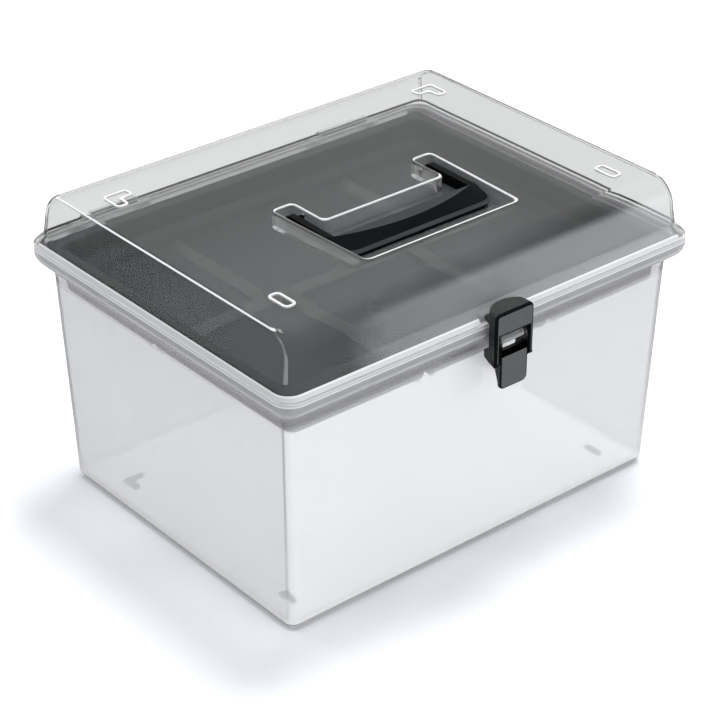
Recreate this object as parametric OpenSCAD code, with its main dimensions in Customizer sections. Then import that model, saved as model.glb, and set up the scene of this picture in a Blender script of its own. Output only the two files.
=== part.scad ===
// Portable file box: a clear tapered box with a lift-out tray, a domed clear lid on a rear
// hinge, a fold-down handle sunk into the lid and one draw latch at the front.
// X runs along the long side, the latch is on the -Y side, +Z is up, and the origin lies on the
// table under the middle of the box.

/* [Box] */
// Length of the box's underside
base_l = 308; // [270:1:380]
// Depth of the box's underside
base_d = 236; // [215:1:300]
// How far each end wall leans out between the underside and the rim
lean_x = 4.8; // [2:0.1:9]
// How far the front and back walls lean out between the underside and the rim
lean_y = 5.5; // [2:0.1:9]
// Height of the walls from the underside to where the rim flares out
wall_h = 154; // [100:1:220]
// Thickness of the walls and the floor
wall_t = 2.2; // [1.8:0.1:2.8]
// Plan radius of the box's upright corners
corner_r = 6; // [5:0.5:9]
// Radius along the bottom edge
base_edge_r = 3; // [1:0.5:4]

/* [Rim] */
// How far the rim stands out past each end wall
rim_out_x = 9.7; // [8:0.1:14]
// How far the rim stands out past the front and back walls
rim_out_y = 12.5; // [12:0.1:15]
// Plan radius of the rim's corners
rim_r = 13; // [10:0.5:16]
// Height over which the rim flares out
flare_h = 14; // [12:0.5:18]
// Height of the rim's upright band above the flare
band_h = 5.4; // [5:0.1:8]
// Thickness of the ribs that carry the tray inside the rim
rib_t = 2; // [1.5:0.1:3]
// Distance of each tray rib from the middle of the box
rib_x = 103; // [60:1:118]

/* [Stacking feet] */
// Height of the feet under the box
foot_h = 1.5; // [1:0.1:2.5]
// Width of a foot's bar
foot_w = 4.8; // [4:0.1:6]
// Length of a foot's bar
foot_len = 14.5; // [12:0.5:18]
// Distance of the feet from the ends of the underside
foot_in_x = 17.9; // [12:0.1:24]
// Distance of the rear feet from the back of the underside
foot_in_rear = 30.4; // [24:0.1:36]
// Distance of the front feet from the front of the underside
foot_in_front = 21.7; // [20:0.1:30]
// Free space between a foot and the ring it stands in on the lid below
mark_gap = 0.6; // [0.4:0.1:1]
// Wall of the stacking rings on the lid
mark_wall = 1.6; // [1.2:0.1:2]
// Height of the stacking rings on the lid
mark_h = 1; // [0.6:0.1:1.4]

/* [Lid] */
// Wall thickness of the lid
lid_t = 2; // [1.6:0.1:2.4]
// Height of the lid's upright edge over the rim
lid_edge_h = 1.5; // [1:0.1:3]
// Height of the sloping shoulder between the edge and the dome
shoulder_h = 6.8; // [6:0.1:9]
// Width of the shoulder at the ends
shoulder_x = 5.5; // [5:0.1:7]
// Width of the shoulder along the front and back
shoulder_y = 8; // [7.5:0.1:10]
// Height of the dome above the shoulder
dome_h = 30; // [28:0.5:45]
// How far each end of the dome leans in
dome_lean_x = 4; // [1:0.5:6]
// How far the front and back of the dome lean in below their round edges
dome_lean_y = 1.5; // [0.5:0.5:3]
// Radius of the dome's long edges
dome_r = 19; // [12:0.5:24]
// Radius of the dome's upright corners
dome_corner_r = 5; // [4:0.5:8]
// Radius of the edges around the dome's ends
end_edge_r = 3.5; // [2.5:0.5:5]

/* [Handle recess] */
// Depth of the handle's top below the top of the lid
handle_sunk = 1.8; // [0.5:0.1:3]
// Half the width of the raised middle between the recess's arms
island_half = 50; // [44:0.5:54]
// Gap for fingers between the raised middle and the grip
finger_gap = 14.9; // [10:0.1:20]
// Free space outside each of the handle's arms at the rear of the recess
side_gap_rear = 5; // [2:0.1:8]
// Free space outside the handle at the front of the recess
side_gap_front = 1.8; // [1:0.1:4]
// Free space behind the handle's round rear ends
rear_gap = 5.8; // [4:0.1:9]
// Space between the grip and the front edge of the recess
front_gap = 18; // [15:0.5:26]
// How far the recess's front wall slopes in below its edge
recess_slope = 12; // [4:0.5:13]
// Corner radius of the recess
recess_r = 3.5; // [2:0.5:4]

/* [Carry handle] */
// Thickness of the handle's arms
arm_t = 5; // [4:0.1:6]
// Height of the handle's arms
arm_h = 8.4; // [7:0.1:9]
// Free space between the recess's floor and the handle
handle_floor_gap = 0.3; // [0.25:0.05:0.8]
// Free space between the raised middle and the inside of each arm
arm_gap = 5.5; // [4:0.1:7]
// Distance from the box's middle to the handle's pivots
pivot_front = 3; // [0:0.5:5]
// Distance from the pivots to the grip's rear edge
arm_reach = 36.5; // [34:0.5:40]
// Width of the grip
grip_w = 23; // [18:0.5:25]
// Radius of the grip's front corners
grip_corner_r = 5; // [3:0.5:7]
// Radius of the handle's pivot pins
handle_pin_r = 2; // [1.5:0.1:2.5]

/* [Tray] */
// Thickness of the tray's walls, floor and lip
tray_t = 1.8; // [1.4:0.1:2]
// Depth of the tray below its lip's top
tray_h = 33; // [24:0.5:45]
// Free space between the ends of the tray's lip and the inside of the rim
lip_gap_x = 6.5; // [4:0.1:8]
// Depth of the ribs' tops, which carry the tray's lip, below the rim's top
lip_drop = 3; // [2.5:0.1:4]
// Free space between the front and back of the tray's lip and the inside of the rim
lip_gap_y = 6; // [5.8:0.1:8]
// Free space between the box's end walls and the tray below the lip
tray_gap_x = 3; // [2:0.1:5]
// Free space between the box's front and back walls and the tray below the lip
tray_gap_y = 1.4; // [1:0.1:4]
// Plan radius of the tray's corners
tray_r = 8; // [7:0.5:12]
// Radius along the tray's bottom edge
tray_edge_r = 4.5; // [3:0.5:6]
// Width of the folds that divide the tray's floor
fold_w = 11; // [8:0.5:14]
// Height of the folds' hollow undersides
fold_h = 6; // [3:0.5:8]
// Place of the fold between the front and rear compartments
fold_row_y = 18; // [-20:1:40]
// Place of the front row's left fold
fold_front_left = -46.5; // [-80:0.5:-20]
// Place of the front row's right fold
fold_front_right = 57; // [20:0.5:90]
// Place of the rear row's left fold
fold_rear_left = -62.5; // [-90:0.5:-20]
// Place of the rear row's right fold
fold_rear_right = 84; // [20:0.5:110]

/* [Rear hinges] */
// Distance of each hinge's middle from the middle of the box
hinge_x = 100; // [60:1:115]
// Length of each hinge over its two ears
hinge_l = 60; // [40:1:70]
// Thickness of a hinge ear on the box
ear_t = 8; // [5:0.5:10]
// Distance of the hinge axis behind the rim
hinge_out = 6; // [5.6:0.1:8]
// Depth of the hinge axis below the rim's top
hinge_drop = 5.4; // [5.3:0.1:6.5]
// Outer radius of the hinge knuckles
knuckle_r = 5; // [4:0.1:5.2]
// Radius of the hinge's stub pins
hinge_pin_r = 2.5; // [2:0.1:3]
// Angle at which the open lid's heels meet the rim
lid_open = 105; // [95:1:112]
// Distance of the heels' corners from the hinge axis
heel_reach = 7.2; // [7:0.1:7.4]

/* [Latch] */
// Width of the opening between the hook's legs
hook_gap_w = 24; // [22:0.1:27]
// Thickness of the hook's legs
leg_t = 3.7; // [3:0.1:4.5]
// Thickness of the latch's walls
latch_t = 2.4; // [2:0.1:2.8]
// Distance of the latch bar's axis in front of the rim
bar_out = 6; // [5.8:0.1:8]
// Depth of the latch bar's axis below the rim's top
bar_drop = 10.4; // [9.8:0.1:11]
// Radius of the latch bar
bar_r = 3.25; // [2.8:0.05:3.4]
// Distance from the bar's axis to the latch's front face
latch_front = 5; // [4.8:0.1:5.4]
// Depth of the hook's pivots below the bar's axis
hook_pivot_drop = 10; // [9:0.1:11]
// How far the hook's pivots lie behind the bar's axis
hook_pivot_back = 1; // [0.5:0.1:1.5]
// Free space between the lever's sides and the hook's legs
lever_gap = 0.7; // [0.4:0.1:1]
// Thickness of the lever's cheeks
cheek_t = 1.7; // [1.4:0.1:2.2]
// Length of the lever's plate
lever_l = 24; // [18:0.5:32]
// Radius of the latch's pivot pins
latch_pin_r = 1.9; // [1.6:0.05:2.1]
// Width of the pad on the lid that the hook holds
catch_w = 36; // [33:0.5:44]
// Radius of the rounded corners of the latch's face
latch_corner_r = 3.5; // [2:0.1:3.6]
// How far the lever's bosses stay behind its front face
boss_back = 1.1; // [0.8:0.1:1.4]
// How far the lever's plate reaches above the hook's pivots
plate_rise = 1; // [0:0.1:2]
// Free height between the lever's bosses and the top of the hook's opening
window_gap = 0.7; // [0.4:0.1:1.2]
// How far the hook's legs reach below its pivots
leg_drop = 5.5; // [4.5:0.1:6]
// How far the hook's waist stays in front of the rim
waist_out = 4.4; // [2:0.1:5]
// How far the hook's pins stop short of its sides
pin_short = 0.7; // [0.4:0.1:1]
// Radius of the curved rear edge of the hook's top plate
plate_arc_r = 18.9; // [17.6:0.1:30]
// Height of the pad's top above the lid's edge
catch_rise = 4.8; // [4:0.1:5.5]
// Thickness of the hook's top plate
hook_plate_t = 3.2; // [2.6:0.1:3.6]
// How far the hook's plate reaches over the pad
hook_reach = 3.3; // [2:0.1:4.5]

/* [Clearances] */
// Free space between faces of pieces that move past each other
seat_gap = 0.3; // [0.25:0.05:0.4]
// Radial clearance of a pin in its bore
pin_clear = 0.06; // [0.03:0.01:0.09]

/* [Hidden] */
// How far a cut runs past the face it opens
overrun = 1;
// Thickness of the slices that the leaning shells are stretched over
slice = 0.02;
// How far a stretched shell reaches into the one that it is joined to
lap = 0.4;
// Share of the flare's width and of its height at each of its slices
flare_out_share = [0, 0.36, 0.75, 0.93, 1];
flare_up_share = [0, 0.25, 0.55, 0.78, 1];
// How much higher the inside of the flare starts than its outside
flare_rise = 1.1;
// Angles of the slices that round an edge
edge_angles = [0, 30, 60, 90];

// Heights, from the table up
under_z = foot_h;
floor_z = under_z + wall_t;
wall_z = under_z + wall_h;
flare_z = wall_z + flare_h;
rim_z = flare_z + band_h;
lid_z = rim_z + seat_gap;
shoulder_z = lid_z + lid_edge_h;
dome_z = shoulder_z + shoulder_h;
top_z = dome_z + dome_h;

// Half sizes of the box and its rim
base_hx = base_l / 2;
base_hy = base_d / 2;
wall_hx = base_hx + lean_x;
wall_hy = base_hy + lean_y;
rim_hx = wall_hx + rim_out_x;
rim_hy = wall_hy + rim_out_y;
dome_hx = rim_hx - shoulder_x;
dome_hy = rim_hy - shoulder_y;

// The feet and the rings that hold the feet of a box stacked on the lid
foot_x = base_hx - foot_in_x;
foot_rear_y = base_hy - foot_in_rear;
foot_front_y = base_hy - foot_in_front;
mark_grow = mark_gap + mark_wall;

// Where the shoulder's inner face starts and ends
shoulder_low_z = shoulder_z - lid_edge_h / 2;
shoulder_high_z = dome_z - lid_t / 2;

// The handle lies in its recess with its pivots at half the height of the arms
recess_depth = handle_floor_gap + arm_h + handle_sunk;
recess_z = top_z - recess_depth;
arm_in = island_half + arm_gap;
arm_out = arm_in + arm_t;
handle_z = recess_z + handle_floor_gap;
handle_top_z = handle_z + arm_h;
pivot_z = handle_z + arm_h / 2;
pivot_y = -pivot_front;
grip_rear_y = pivot_y - arm_reach;
grip_front_y = grip_rear_y - grip_w;
island_front = -grip_rear_y - finger_gap;
recess_half_rear = arm_out + side_gap_rear;
recess_half_front = arm_out + side_gap_front;
recess_rear = pivot_y + arm_h / 2 + rear_gap;
recess_front = -grip_front_y + front_gap;
handle_pin_l = arm_gap + lid_t - seat_gap;
// Share of the grip's width and height at each point of its section, rear edge first
grip_y_share = [0, 0.32, 0.86, 1, 0.96, 0.1, 0];
grip_z_share = [0.72, 1, 0.78, 0.36, 0, 0, 0.3];
// How much the section's crest moves back at the grip's ends, as a share of its width
grip_crest_share = 0.14;
// How high the grip's front corners and its joints with the arms stand, as shares of its height
grip_corner_share = 0.6;
grip_joint_share = 0.9;

// The tray hangs by its lip on the ribs
rib_z = rim_z - lip_drop;
lip_z = rib_z + seat_gap;
tray_top_z = lip_z + tray_t;
lip_hx = rim_hx - wall_t - lip_gap_x;
lip_hy = rim_hy - wall_t - lip_gap_y;
tray_low_z = tray_top_z - tray_h;
tray_hx = wall_hx - wall_t - tray_gap_x;
tray_hy = wall_hy - wall_t - tray_gap_y;
tray_low_hx = tray_hx - lean_x * tray_h / wall_h;
tray_low_hy = tray_hy - lean_y * tray_h / wall_h;
// Where the fold's ridge lies across its width
fold_ridge_share = 0.3;

// How far the rim's flare falls away where the heels meet it
heel_relief = 0.7;
heel_low = heel_reach * sin(180 - lid_open - acos((hinge_out + heel_relief) / heel_reach));
heel_out = heel_reach * cos(180 - lid_open - acos((hinge_out + heel_relief) / heel_reach));

// The hinge and latch axes
hinge_y = rim_hy + hinge_out;
hinge_z = rim_z - hinge_drop;
bar_y = -rim_hy - bar_out;
bar_z = rim_z - bar_drop;
front_y = bar_y - latch_front;
hook_pivot_y = bar_y + hook_pivot_back;
hook_pivot_z = bar_z - hook_pivot_drop;
catch_y = -rim_hy + seat_gap;
catch_z = lid_z + lid_edge_h + catch_rise;
plate_z = catch_z + seat_gap;
hook_top_z = plate_z + hook_plate_t;
boss_r = latch_front - boss_back;
// The latch's widths, from the hook inwards to the bar
hook_w = hook_gap_w + 2 * leg_t;
lever_w = hook_gap_w - 2 * lever_gap;
bar_w = lever_w - 2 * (cheek_t + seat_gap);
// Heights on the hook's side up its foot, as shares of its legs' drop, and below its head, as
// shares of the plate's thickness
foot_share = [0.22, 0.73, 1.64, 2.09];
head_share = [1.4, 0.78];

clear_colour = [0.86, 0.87, 0.9, 0.45];
tray_colour = [0.3, 0.32, 0.33, 0.85];
black_colour = [0.05, 0.055, 0.06];
grey_colour = [0.2, 0.22, 0.22];

// Four corner posts of one level slice, or of a taller upright band, to be stretched over by hull()
module slice_posts(hx, hy, r, z, h = slice) {
  for (sx = [-1, 1], sy = [-1, 1]) {
    translate([sx * (hx - r), sy * (hy - r), z])
      cylinder(r = r, h = h, $fn = 32);
  }
}

// A level rounded rectangle with true round corners
module rounded_plate(hx, hy, r, h) {
  linear_extrude(height = h) {
    square([2 * hx, 2 * (hy - r)], center = true);
    square([2 * (hx - r), 2 * hy], center = true);
    for (sx = [-1, 1], sy = [-1, 1]) {
      translate([sx * (hx - r), sy * (hy - r)])
        circle(r = r, $fn = 48);
    }
  }
}

// A shape drawn in Y and Z, given a width along X about the middle
module across(width) {
  translate([-width / 2, 0, 0])
    rotate([90, 0, 90])
      linear_extrude(height = width)
        children();
}

// Round bar or hole along X about the middle
module cross_bar(y, z, r, width) {
  translate([0, y, z])
    rotate([0, 90, 0])
      cylinder(r = r, h = width, center = true, $fn = 48);
}

// Leaning outside of the box below its rim, with its bottom edge rounded
module box_outside() {
  hull() {
    for (a = edge_angles) {
      slice_posts(base_hx - base_edge_r * (1 - sin(a)), base_hy - base_edge_r * (1 - sin(a)),
        corner_r, under_z + base_edge_r * (1 - cos(a)));
    }
    slice_posts(wall_hx, wall_hy, corner_r, wall_z);
  }
}

module box_inside() {
  in_r = corner_r - wall_t;
  hull() {
    for (a = edge_angles) {
      slice_posts(base_hx - wall_t - base_edge_r * (1 - sin(a)),
        base_hy - wall_t - base_edge_r * (1 - sin(a)), in_r, floor_z + base_edge_r * (1 - cos(a)));
    }
    slice_posts(wall_hx - wall_t, wall_hy - wall_t, in_r, wall_z + flare_rise);
  }
}

// Rim above the walls, flaring out to an upright band
module rim_outside() {
  hull() {
    for (i = [0 : len(flare_out_share) - 2]) {
      out = flare_out_share[i];
      slice_posts(wall_hx + rim_out_x * out, wall_hy + rim_out_y * out,
        corner_r + (rim_r - corner_r) * out, wall_z + flare_h * flare_up_share[i]);
    }
    slice_posts(rim_hx, rim_hy, rim_r, flare_z, band_h);
  }
}

module rim_inside() {
  hull() {
    for (i = [0 : len(flare_out_share) - 2]) {
      out = flare_out_share[i];
      slice_posts(wall_hx - wall_t + rim_out_x * out, wall_hy - wall_t + rim_out_y * out,
        corner_r - wall_t + (rim_r - corner_r) * out,
        wall_z + flare_h * flare_up_share[i] + flare_rise * (1 - out));
    }
    slice_posts(rim_hx - wall_t, rim_hy - wall_t, rim_r - wall_t, flare_z, band_h + overrun);
  }
}

// One foot drawn from its outer corner, with one bar or two; grow widens it all round
module foot_outline(two_bars, grow) {
  r = foot_w / 2 + grow;
  translate([-foot_w - grow, -foot_len - grow + r])
    square([foot_w + 2 * grow, foot_len + 2 * grow - 2 * r]);
  for (end = [r - foot_len - grow, grow - r]) {
    translate([-foot_w / 2, end])
      circle(r = r, $fn = 32);
  }
  if (two_bars) {
    translate([-foot_len - grow + r, -foot_w - grow])
      square([foot_len + 2 * grow - 2 * r, foot_w + 2 * grow]);
    translate([-foot_len - grow + r, -foot_w / 2])
      circle(r = r, $fn = 32);
  }
}

// The four feet's outlines in their places, rear ones with two bars
module all_feet(grow) {
  for (side = [0, 1]) {
    mirror([side, 0]) {
      translate([foot_x, foot_rear_y])
        foot_outline(true, grow);
      translate([foot_x, foot_len - foot_front_y])
        foot_outline(false, grow);
    }
  }
}

// Middle of the flare's wall at slice i, as a point in Y and Z on the rear side
function flare_mid(i) = [
  wall_hy + rim_out_y * flare_out_share[i] - wall_t / 2,
  wall_z + flare_h * flare_up_share[i] + flare_rise * (1 - flare_out_share[i]) / 2
];

// Ribs in the flare, front and rear, that carry the tray's lip
module tray_ribs() {
  for (sx = [-1, 1], turn = [0, 180]) {
    rotate([0, 0, turn])
      translate([sx * rib_x, 0, 0])
        across(rib_t)
          polygon(concat([for (i = [0 : 4]) flare_mid(i)],
            [[rim_hy - wall_t / 2, rib_z], [tray_hy + tray_gap_y / 2, rib_z],
             [tray_hy + tray_gap_y / 2, wall_z]]));
  }
}

// Ears on the rear of the rim that hold the lid's stub pins
module hinge_ears() {
  for (sx = [-1, 1], end = [-1, 1]) {
    translate([sx * hinge_x + end * (hinge_l - ear_t) / 2, 0, 0])
      across(ear_t) {
        translate([hinge_y, hinge_z])
          circle(r = knuckle_r, $fn = 48);
        polygon([flare_mid(2), flare_mid(3), flare_mid(4), [rim_hy - wall_t / 2, hinge_z + knuckle_r],
          [hinge_y, hinge_z + knuckle_r], [hinge_y, hinge_z - knuckle_r]]);
      }
  }
}

// Block on the front of the rim that ends in the latch bar, with a pin at each end of the bar
module latch_bracket() {
  across(bar_w) {
    translate([bar_y, bar_z])
      circle(r = bar_r, $fn = 48);
    mirror([1, 0])
      polygon([[-bar_y, bar_z - bar_r], flare_mid(1), flare_mid(2), flare_mid(3), flare_mid(4),
        [-bar_y, bar_z + bar_r]]);
  }
  cross_bar(bar_y, bar_z, latch_pin_r, lever_w - seat_gap);
}

module box() {
  color(clear_colour) {
    difference() {
      union() {
        difference() {
          union() {
            box_outside();
            rim_outside();
            hinge_ears();
          }
          box_inside();
          rim_inside();
        }
        tray_ribs();
        latch_bracket();
        linear_extrude(height = under_z + wall_t / 2)
          all_feet(0);
      }
      for (sx = [-1, 1]) {
        translate([sx * hinge_x, 0, 0])
          cross_bar(hinge_y, hinge_z, hinge_pin_r + pin_clear, hinge_l + 2 * overrun);
      }
    }
  }
}

// Body of the tray below its lip, shrunk by t on every side for the inside
module tray_form(t, high_z) {
  hull() {
    for (a = edge_angles) {
      slice_posts(tray_low_hx - t - tray_edge_r * (1 - sin(a)),
        tray_low_hy - t - tray_edge_r * (1 - sin(a)), tray_r - t,
        tray_low_z + t + tray_edge_r * (1 - cos(a)));
    }
    slice_posts(tray_hx - t, tray_hy - t, tray_r - t, high_z);
  }
}

// One fold's section: a tent as wide as the fold, raised and widened by t for its upper side
module fold_section(t) {
  polygon([
    [-fold_w / 2 - t, tray_low_z - overrun * (t > 0 ? 0 : 1)],
    [-fold_w / 2 - t, tray_low_z],
    [fold_w * (fold_ridge_share - 0.5), tray_low_z + fold_h + t],
    [fold_w / 2 + t, tray_low_z],
    [fold_w / 2 + t, tray_low_z - overrun * (t > 0 ? 0 : 1)]
  ]);
}

// All the folds, running front to back in two rows and once from end to end
module folds(t) {
  row_front = tray_hy + fold_row_y;
  row_rear = tray_hy - fold_row_y;
  for (x = [fold_front_left, fold_front_right]) {
    translate([x, fold_row_y, 0])
      rotate([90, 0, 0])
        linear_extrude(height = row_front)
          fold_section(t);
  }
  for (x = [fold_rear_left, fold_rear_right]) {
    translate([x, fold_row_y + row_rear, 0])
      rotate([90, 0, 0])
        linear_extrude(height = row_rear)
          fold_section(t);
  }
  translate([0, fold_row_y, 0])
    across(2 * tray_hx)
      fold_section(t);
}

module tray() {
  color(tray_colour) {
    difference() {
      union() {
        difference() {
          union() {
            tray_form(0, lip_z + lap);
            translate([0, 0, lip_z])
              rounded_plate(lip_hx, lip_hy, corner_r, tray_t);
          }
          tray_form(tray_t, tray_top_z + overrun);
        }
        intersection() {
          folds(tray_t);
          tray_form(0, lip_z);
        }
      }
      folds(0);
    }
  }
}

// Solid outside of the dome, or its inside when shrunk by t
module dome_form(t) {
  low_z = t > 0 ? shoulder_high_z - lap : dome_z - lap;
  rod_r = dome_r - t;
  rod_y = dome_hy - dome_lean_y - dome_r;
  end_x = dome_hx - dome_lean_x - t;
  edge_r = end_edge_r - t / 2;
  hull() {
    slice_posts(dome_hx - t, dome_hy - t, dome_corner_r - t, low_z);
    for (sy = [-1, 1], a = edge_angles) {
      translate([0, sy * rod_y, top_z - dome_r])
        rotate([0, 90, 0])
          cylinder(r = rod_r - edge_r * (1 - sin(a)), h = 2 * (end_x - edge_r * (1 - cos(a))),
            center = true, $fn = 64);
    }
  }
}

// Edge and shoulder of the lid
module shoulder_outside() {
  hull() {
    slice_posts(rim_hx, rim_hy, rim_r, lid_z, lid_edge_h);
    slice_posts(dome_hx, dome_hy, dome_corner_r, dome_z);
  }
}

module shoulder_inside() {
  hull() {
    slice_posts(rim_hx - wall_t, rim_hy - wall_t, rim_r - wall_t, lid_z - overrun,
      lid_edge_h / 2 + overrun);
    slice_posts(dome_hx - lid_t, dome_hy - lid_t, dome_corner_r - lid_t, shoulder_high_z);
  }
}

// Outline of the U-shaped recess from above; grow gives the outside of its walls
module recess_outline(grow) {
  rear = recess_rear + grow;
  front = -recess_front - grow;
  side = island_half - grow;
  r = recess_r + grow;
  difference() {
    union() {
      polygon([
        [-recess_half_rear - grow, rear - r], [-recess_half_front - grow, front],
        [recess_half_front + grow, front], [recess_half_rear + grow, rear - r],
        [recess_half_rear + grow - r, rear], [-recess_half_rear - grow + r, rear]
      ]);
      for (sx = [-1, 1]) {
        translate([sx * (recess_half_rear + grow - r), rear - r])
          circle(r = r, $fn = 32);
      }
    }
    translate([-side, -island_front + grow])
      square([2 * side, rear + island_front]);
  }
}

// Space of the recess, or the block around it, from above its floor to high_z
module recess_form(grow, high_z) {
  low_z = recess_z - grow;
  intersection() {
    translate([0, 0, low_z])
      linear_extrude(height = high_z - low_z)
        recess_outline(grow);
    across(2 * (recess_half_rear + grow + overrun))
      polygon([
        [recess_rear + grow, low_z], [recess_slope - recess_front - grow, low_z],
        [-recess_front - grow, top_z], [-recess_front - grow, top_z + overrun],
        [recess_rear + grow, top_z + overrun]
      ]);
  }
}

// Middle knuckle of each rear hinge with its web to the lid's edge, its stub pins and the heel
// that stops the open lid
module lid_knuckles() {
  knuckle_l = hinge_l - 2 * (ear_t + seat_gap);
  web_y = rim_hy + hinge_out / 4;
  for (sx = [-1, 1]) {
    translate([sx * hinge_x, 0, 0]) {
      across(knuckle_l) {
        translate([hinge_y, hinge_z])
          circle(r = knuckle_r, $fn = 48);
        polygon([
          [rim_hy - wall_t / 2, lid_z], [rim_hy - wall_t / 2, shoulder_z],
          [hinge_y, shoulder_z], [hinge_y + knuckle_r, hinge_z],
          [hinge_y + heel_out, hinge_z - heel_low], [hinge_y, hinge_z - knuckle_r], [hinge_y, hinge_z],
          [web_y, hinge_z], [web_y, lid_z]
        ]);
      }
      cross_bar(hinge_y, hinge_z, hinge_pin_r, hinge_l - 2 * seat_gap);
    }
  }
}

// Pad on the front shoulder that the latch hook holds down
module catch_pad() {
  pad_rear_y = -dome_hy + lid_t / 2;
  across(catch_w)
    polygon([[catch_y, lid_z], [catch_y, catch_z], [pad_rear_y, catch_z],
      [pad_rear_y, dome_z - lid_t], [catch_y + wall_t / 2, shoulder_z - lid_edge_h / 2]]);
}

module lid() {
  color(clear_colour) {
    difference() {
      union() {
        difference() {
          union() {
            shoulder_outside();
            dome_form(0);
          }
          shoulder_inside();
          dome_form(lid_t);
        }
        recess_form(lid_t, top_z - lid_t / 2);
        translate([0, 0, top_z - lap])
          linear_extrude(height = mark_h + lap)
            difference() {
              all_feet(mark_grow);
              all_feet(mark_gap);
            }
        catch_pad();
        lid_knuckles();
      }
      recess_form(0, top_z + overrun);
      for (sx = [-1, 1]) {
        translate([sx * (island_half - lid_t / 2), 0, 0])
          cross_bar(pivot_y, pivot_z, handle_pin_r + pin_clear, lid_t + 2 * overrun);
      }
    }
  }
}

// Section of the grip in Y and Z; crest moves its highest edge back towards the arms
module grip_slice(x, crest, t) {
  translate([x, 0, 0])
    across(t)
      polygon([for (i = [0 : len(grip_y_share) - 1])
        [grip_rear_y - grip_w * (grip_y_share[i] - (i == 1 ? crest : 0)),
         handle_z + arm_h * grip_z_share[i]]]);
}

module carry_handle() {
  side_x = arm_out - grip_corner_r;
  color(black_colour) {
    for (sx = [-1, 1]) {
      translate([sx * (arm_in + arm_t / 2), 0, 0])
        across(arm_t) {
          translate([pivot_y, pivot_z])
            circle(r = arm_h / 2, $fn = 48);
          translate([grip_rear_y - grip_w / 4, handle_z])
            square([arm_reach + grip_w / 4, arm_h]);
        }
      translate([sx * (arm_in + (arm_t / 2 - handle_pin_l) / 2), 0, 0])
        cross_bar(pivot_y, pivot_z, handle_pin_r, handle_pin_l + arm_t / 2);
    }
    hull() {
      grip_slice(0, 0, grip_w);
      for (sx = [-1, 1]) {
        grip_slice(sx * side_x, grip_crest_share, slice);
        translate([sx * side_x, grip_front_y + grip_corner_r, handle_z])
          cylinder(r = grip_corner_r, h = arm_h * grip_corner_share, $fn = 32);
        translate([sx * (arm_out - arm_t / 2), grip_rear_y - arm_t / 2, handle_z])
          cylinder(r = arm_t / 2, h = arm_h * grip_joint_share, $fn = 32);
      }
    }
  }
}

// Lever: a plate in front, two cheeks that turn on the latch bar's pins, and the hook's pins
module latch_lever() {
  plate_top_z = hook_pivot_z + plate_rise;
  plate_low_z = plate_top_z - lever_l;
  r = latch_corner_r;
  color(grey_colour) {
    difference() {
      union() {
        translate([0, front_y + latch_t, 0])
          rotate([90, 0, 0])
            linear_extrude(height = latch_t) {
              translate([-lever_w / 2, plate_low_z + r])
                square([lever_w, lever_l - r]);
              translate([r - lever_w / 2, plate_low_z])
                square([lever_w - 2 * r, r]);
              for (sx = [-1, 1]) {
                translate([sx * (lever_w / 2 - r), plate_low_z + r])
                  circle(r = r, $fn = 32);
              }
            }
        for (sx = [-1, 1]) {
          translate([sx * (lever_w - cheek_t) / 2, 0, 0])
            across(cheek_t) {
              translate([bar_y, bar_z])
                circle(r = boss_r, $fn = 48);
              translate([hook_pivot_y, hook_pivot_z])
                circle(r = boss_r, $fn = 48);
              polygon([
                [bar_y - boss_r, bar_z], [front_y, bar_z - boss_r], [front_y, plate_low_z + r],
                [front_y + latch_t, plate_low_z + r], [hook_pivot_y + boss_r, hook_pivot_z],
                [bar_y + boss_r, bar_z]
              ]);
            }
        }
        translate([-lever_w / 2 + cheek_t / 2, front_y + latch_t, plate_top_z - latch_t])
          cube([lever_w - cheek_t, latch_t, 2 * latch_t]);
        cross_bar(hook_pivot_y, hook_pivot_z, latch_pin_r, hook_w - 2 * pin_short);
      }
      cross_bar(bar_y, bar_z, latch_pin_r + pin_clear, lever_w + overrun);
    }
  }
}

// Hook: a front wall with a top plate that reaches over the catch pad, on two legs
module latch_hook() {
  r = latch_corner_r;
  waist_y = -rim_hy - waist_out;
  back_y = -rim_hy - seat_gap;
  window_top_z = bar_z + boss_r + window_gap;
  leg_low_z = hook_pivot_z - leg_drop;
  foot = [for (share = foot_share) leg_low_z + leg_drop * share];
  head = [for (share = head_share) catch_z - hook_plate_t * share];
  color(grey_colour) {
    difference() {
      intersection() {
        union() {
          for (sx = [-1, 1]) {
            translate([sx * (hook_w - leg_t) / 2, 0, 0])
              across(leg_t)
                polygon([
                  [front_y, leg_low_z], [hook_pivot_y, foot[0]], [back_y, foot[1]],
                  [back_y, foot[2]], [waist_y, foot[3]], [waist_y, head[0]], [back_y, head[1]],
                  [back_y, hook_top_z], [front_y, hook_top_z]
                ]);
          }
          translate([-hook_w / 2, front_y, window_top_z])
            cube([hook_w, latch_t, hook_top_z - window_top_z]);
          translate([0, 0, plate_z])
            linear_extrude(height = hook_plate_t)
              intersection() {
                translate([-hook_w / 2, front_y])
                  square([hook_w, -front_y]);
                translate([0, catch_y + hook_reach - plate_arc_r])
                  circle(r = plate_arc_r, $fn = 96);
              }
        }
        rotate([90, 0, 0])
          linear_extrude(height = overrun - front_y) {
            translate([-hook_w / 2, leg_low_z - overrun])
              square([hook_w, hook_top_z - r - leg_low_z + overrun]);
            translate([r - hook_w / 2, leg_low_z])
              square([hook_w - 2 * r, hook_top_z - leg_low_z]);
            for (sx = [-1, 1]) {
              translate([sx * (hook_w / 2 - r), hook_top_z - r])
                circle(r = r, $fn = 48);
            }
          }
      }
      cross_bar(hook_pivot_y, hook_pivot_z, latch_pin_r + pin_clear, hook_w - pin_short);
    }
  }
}

box();
tray();
lid();
carry_handle();
latch_lever();
latch_hook();
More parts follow.
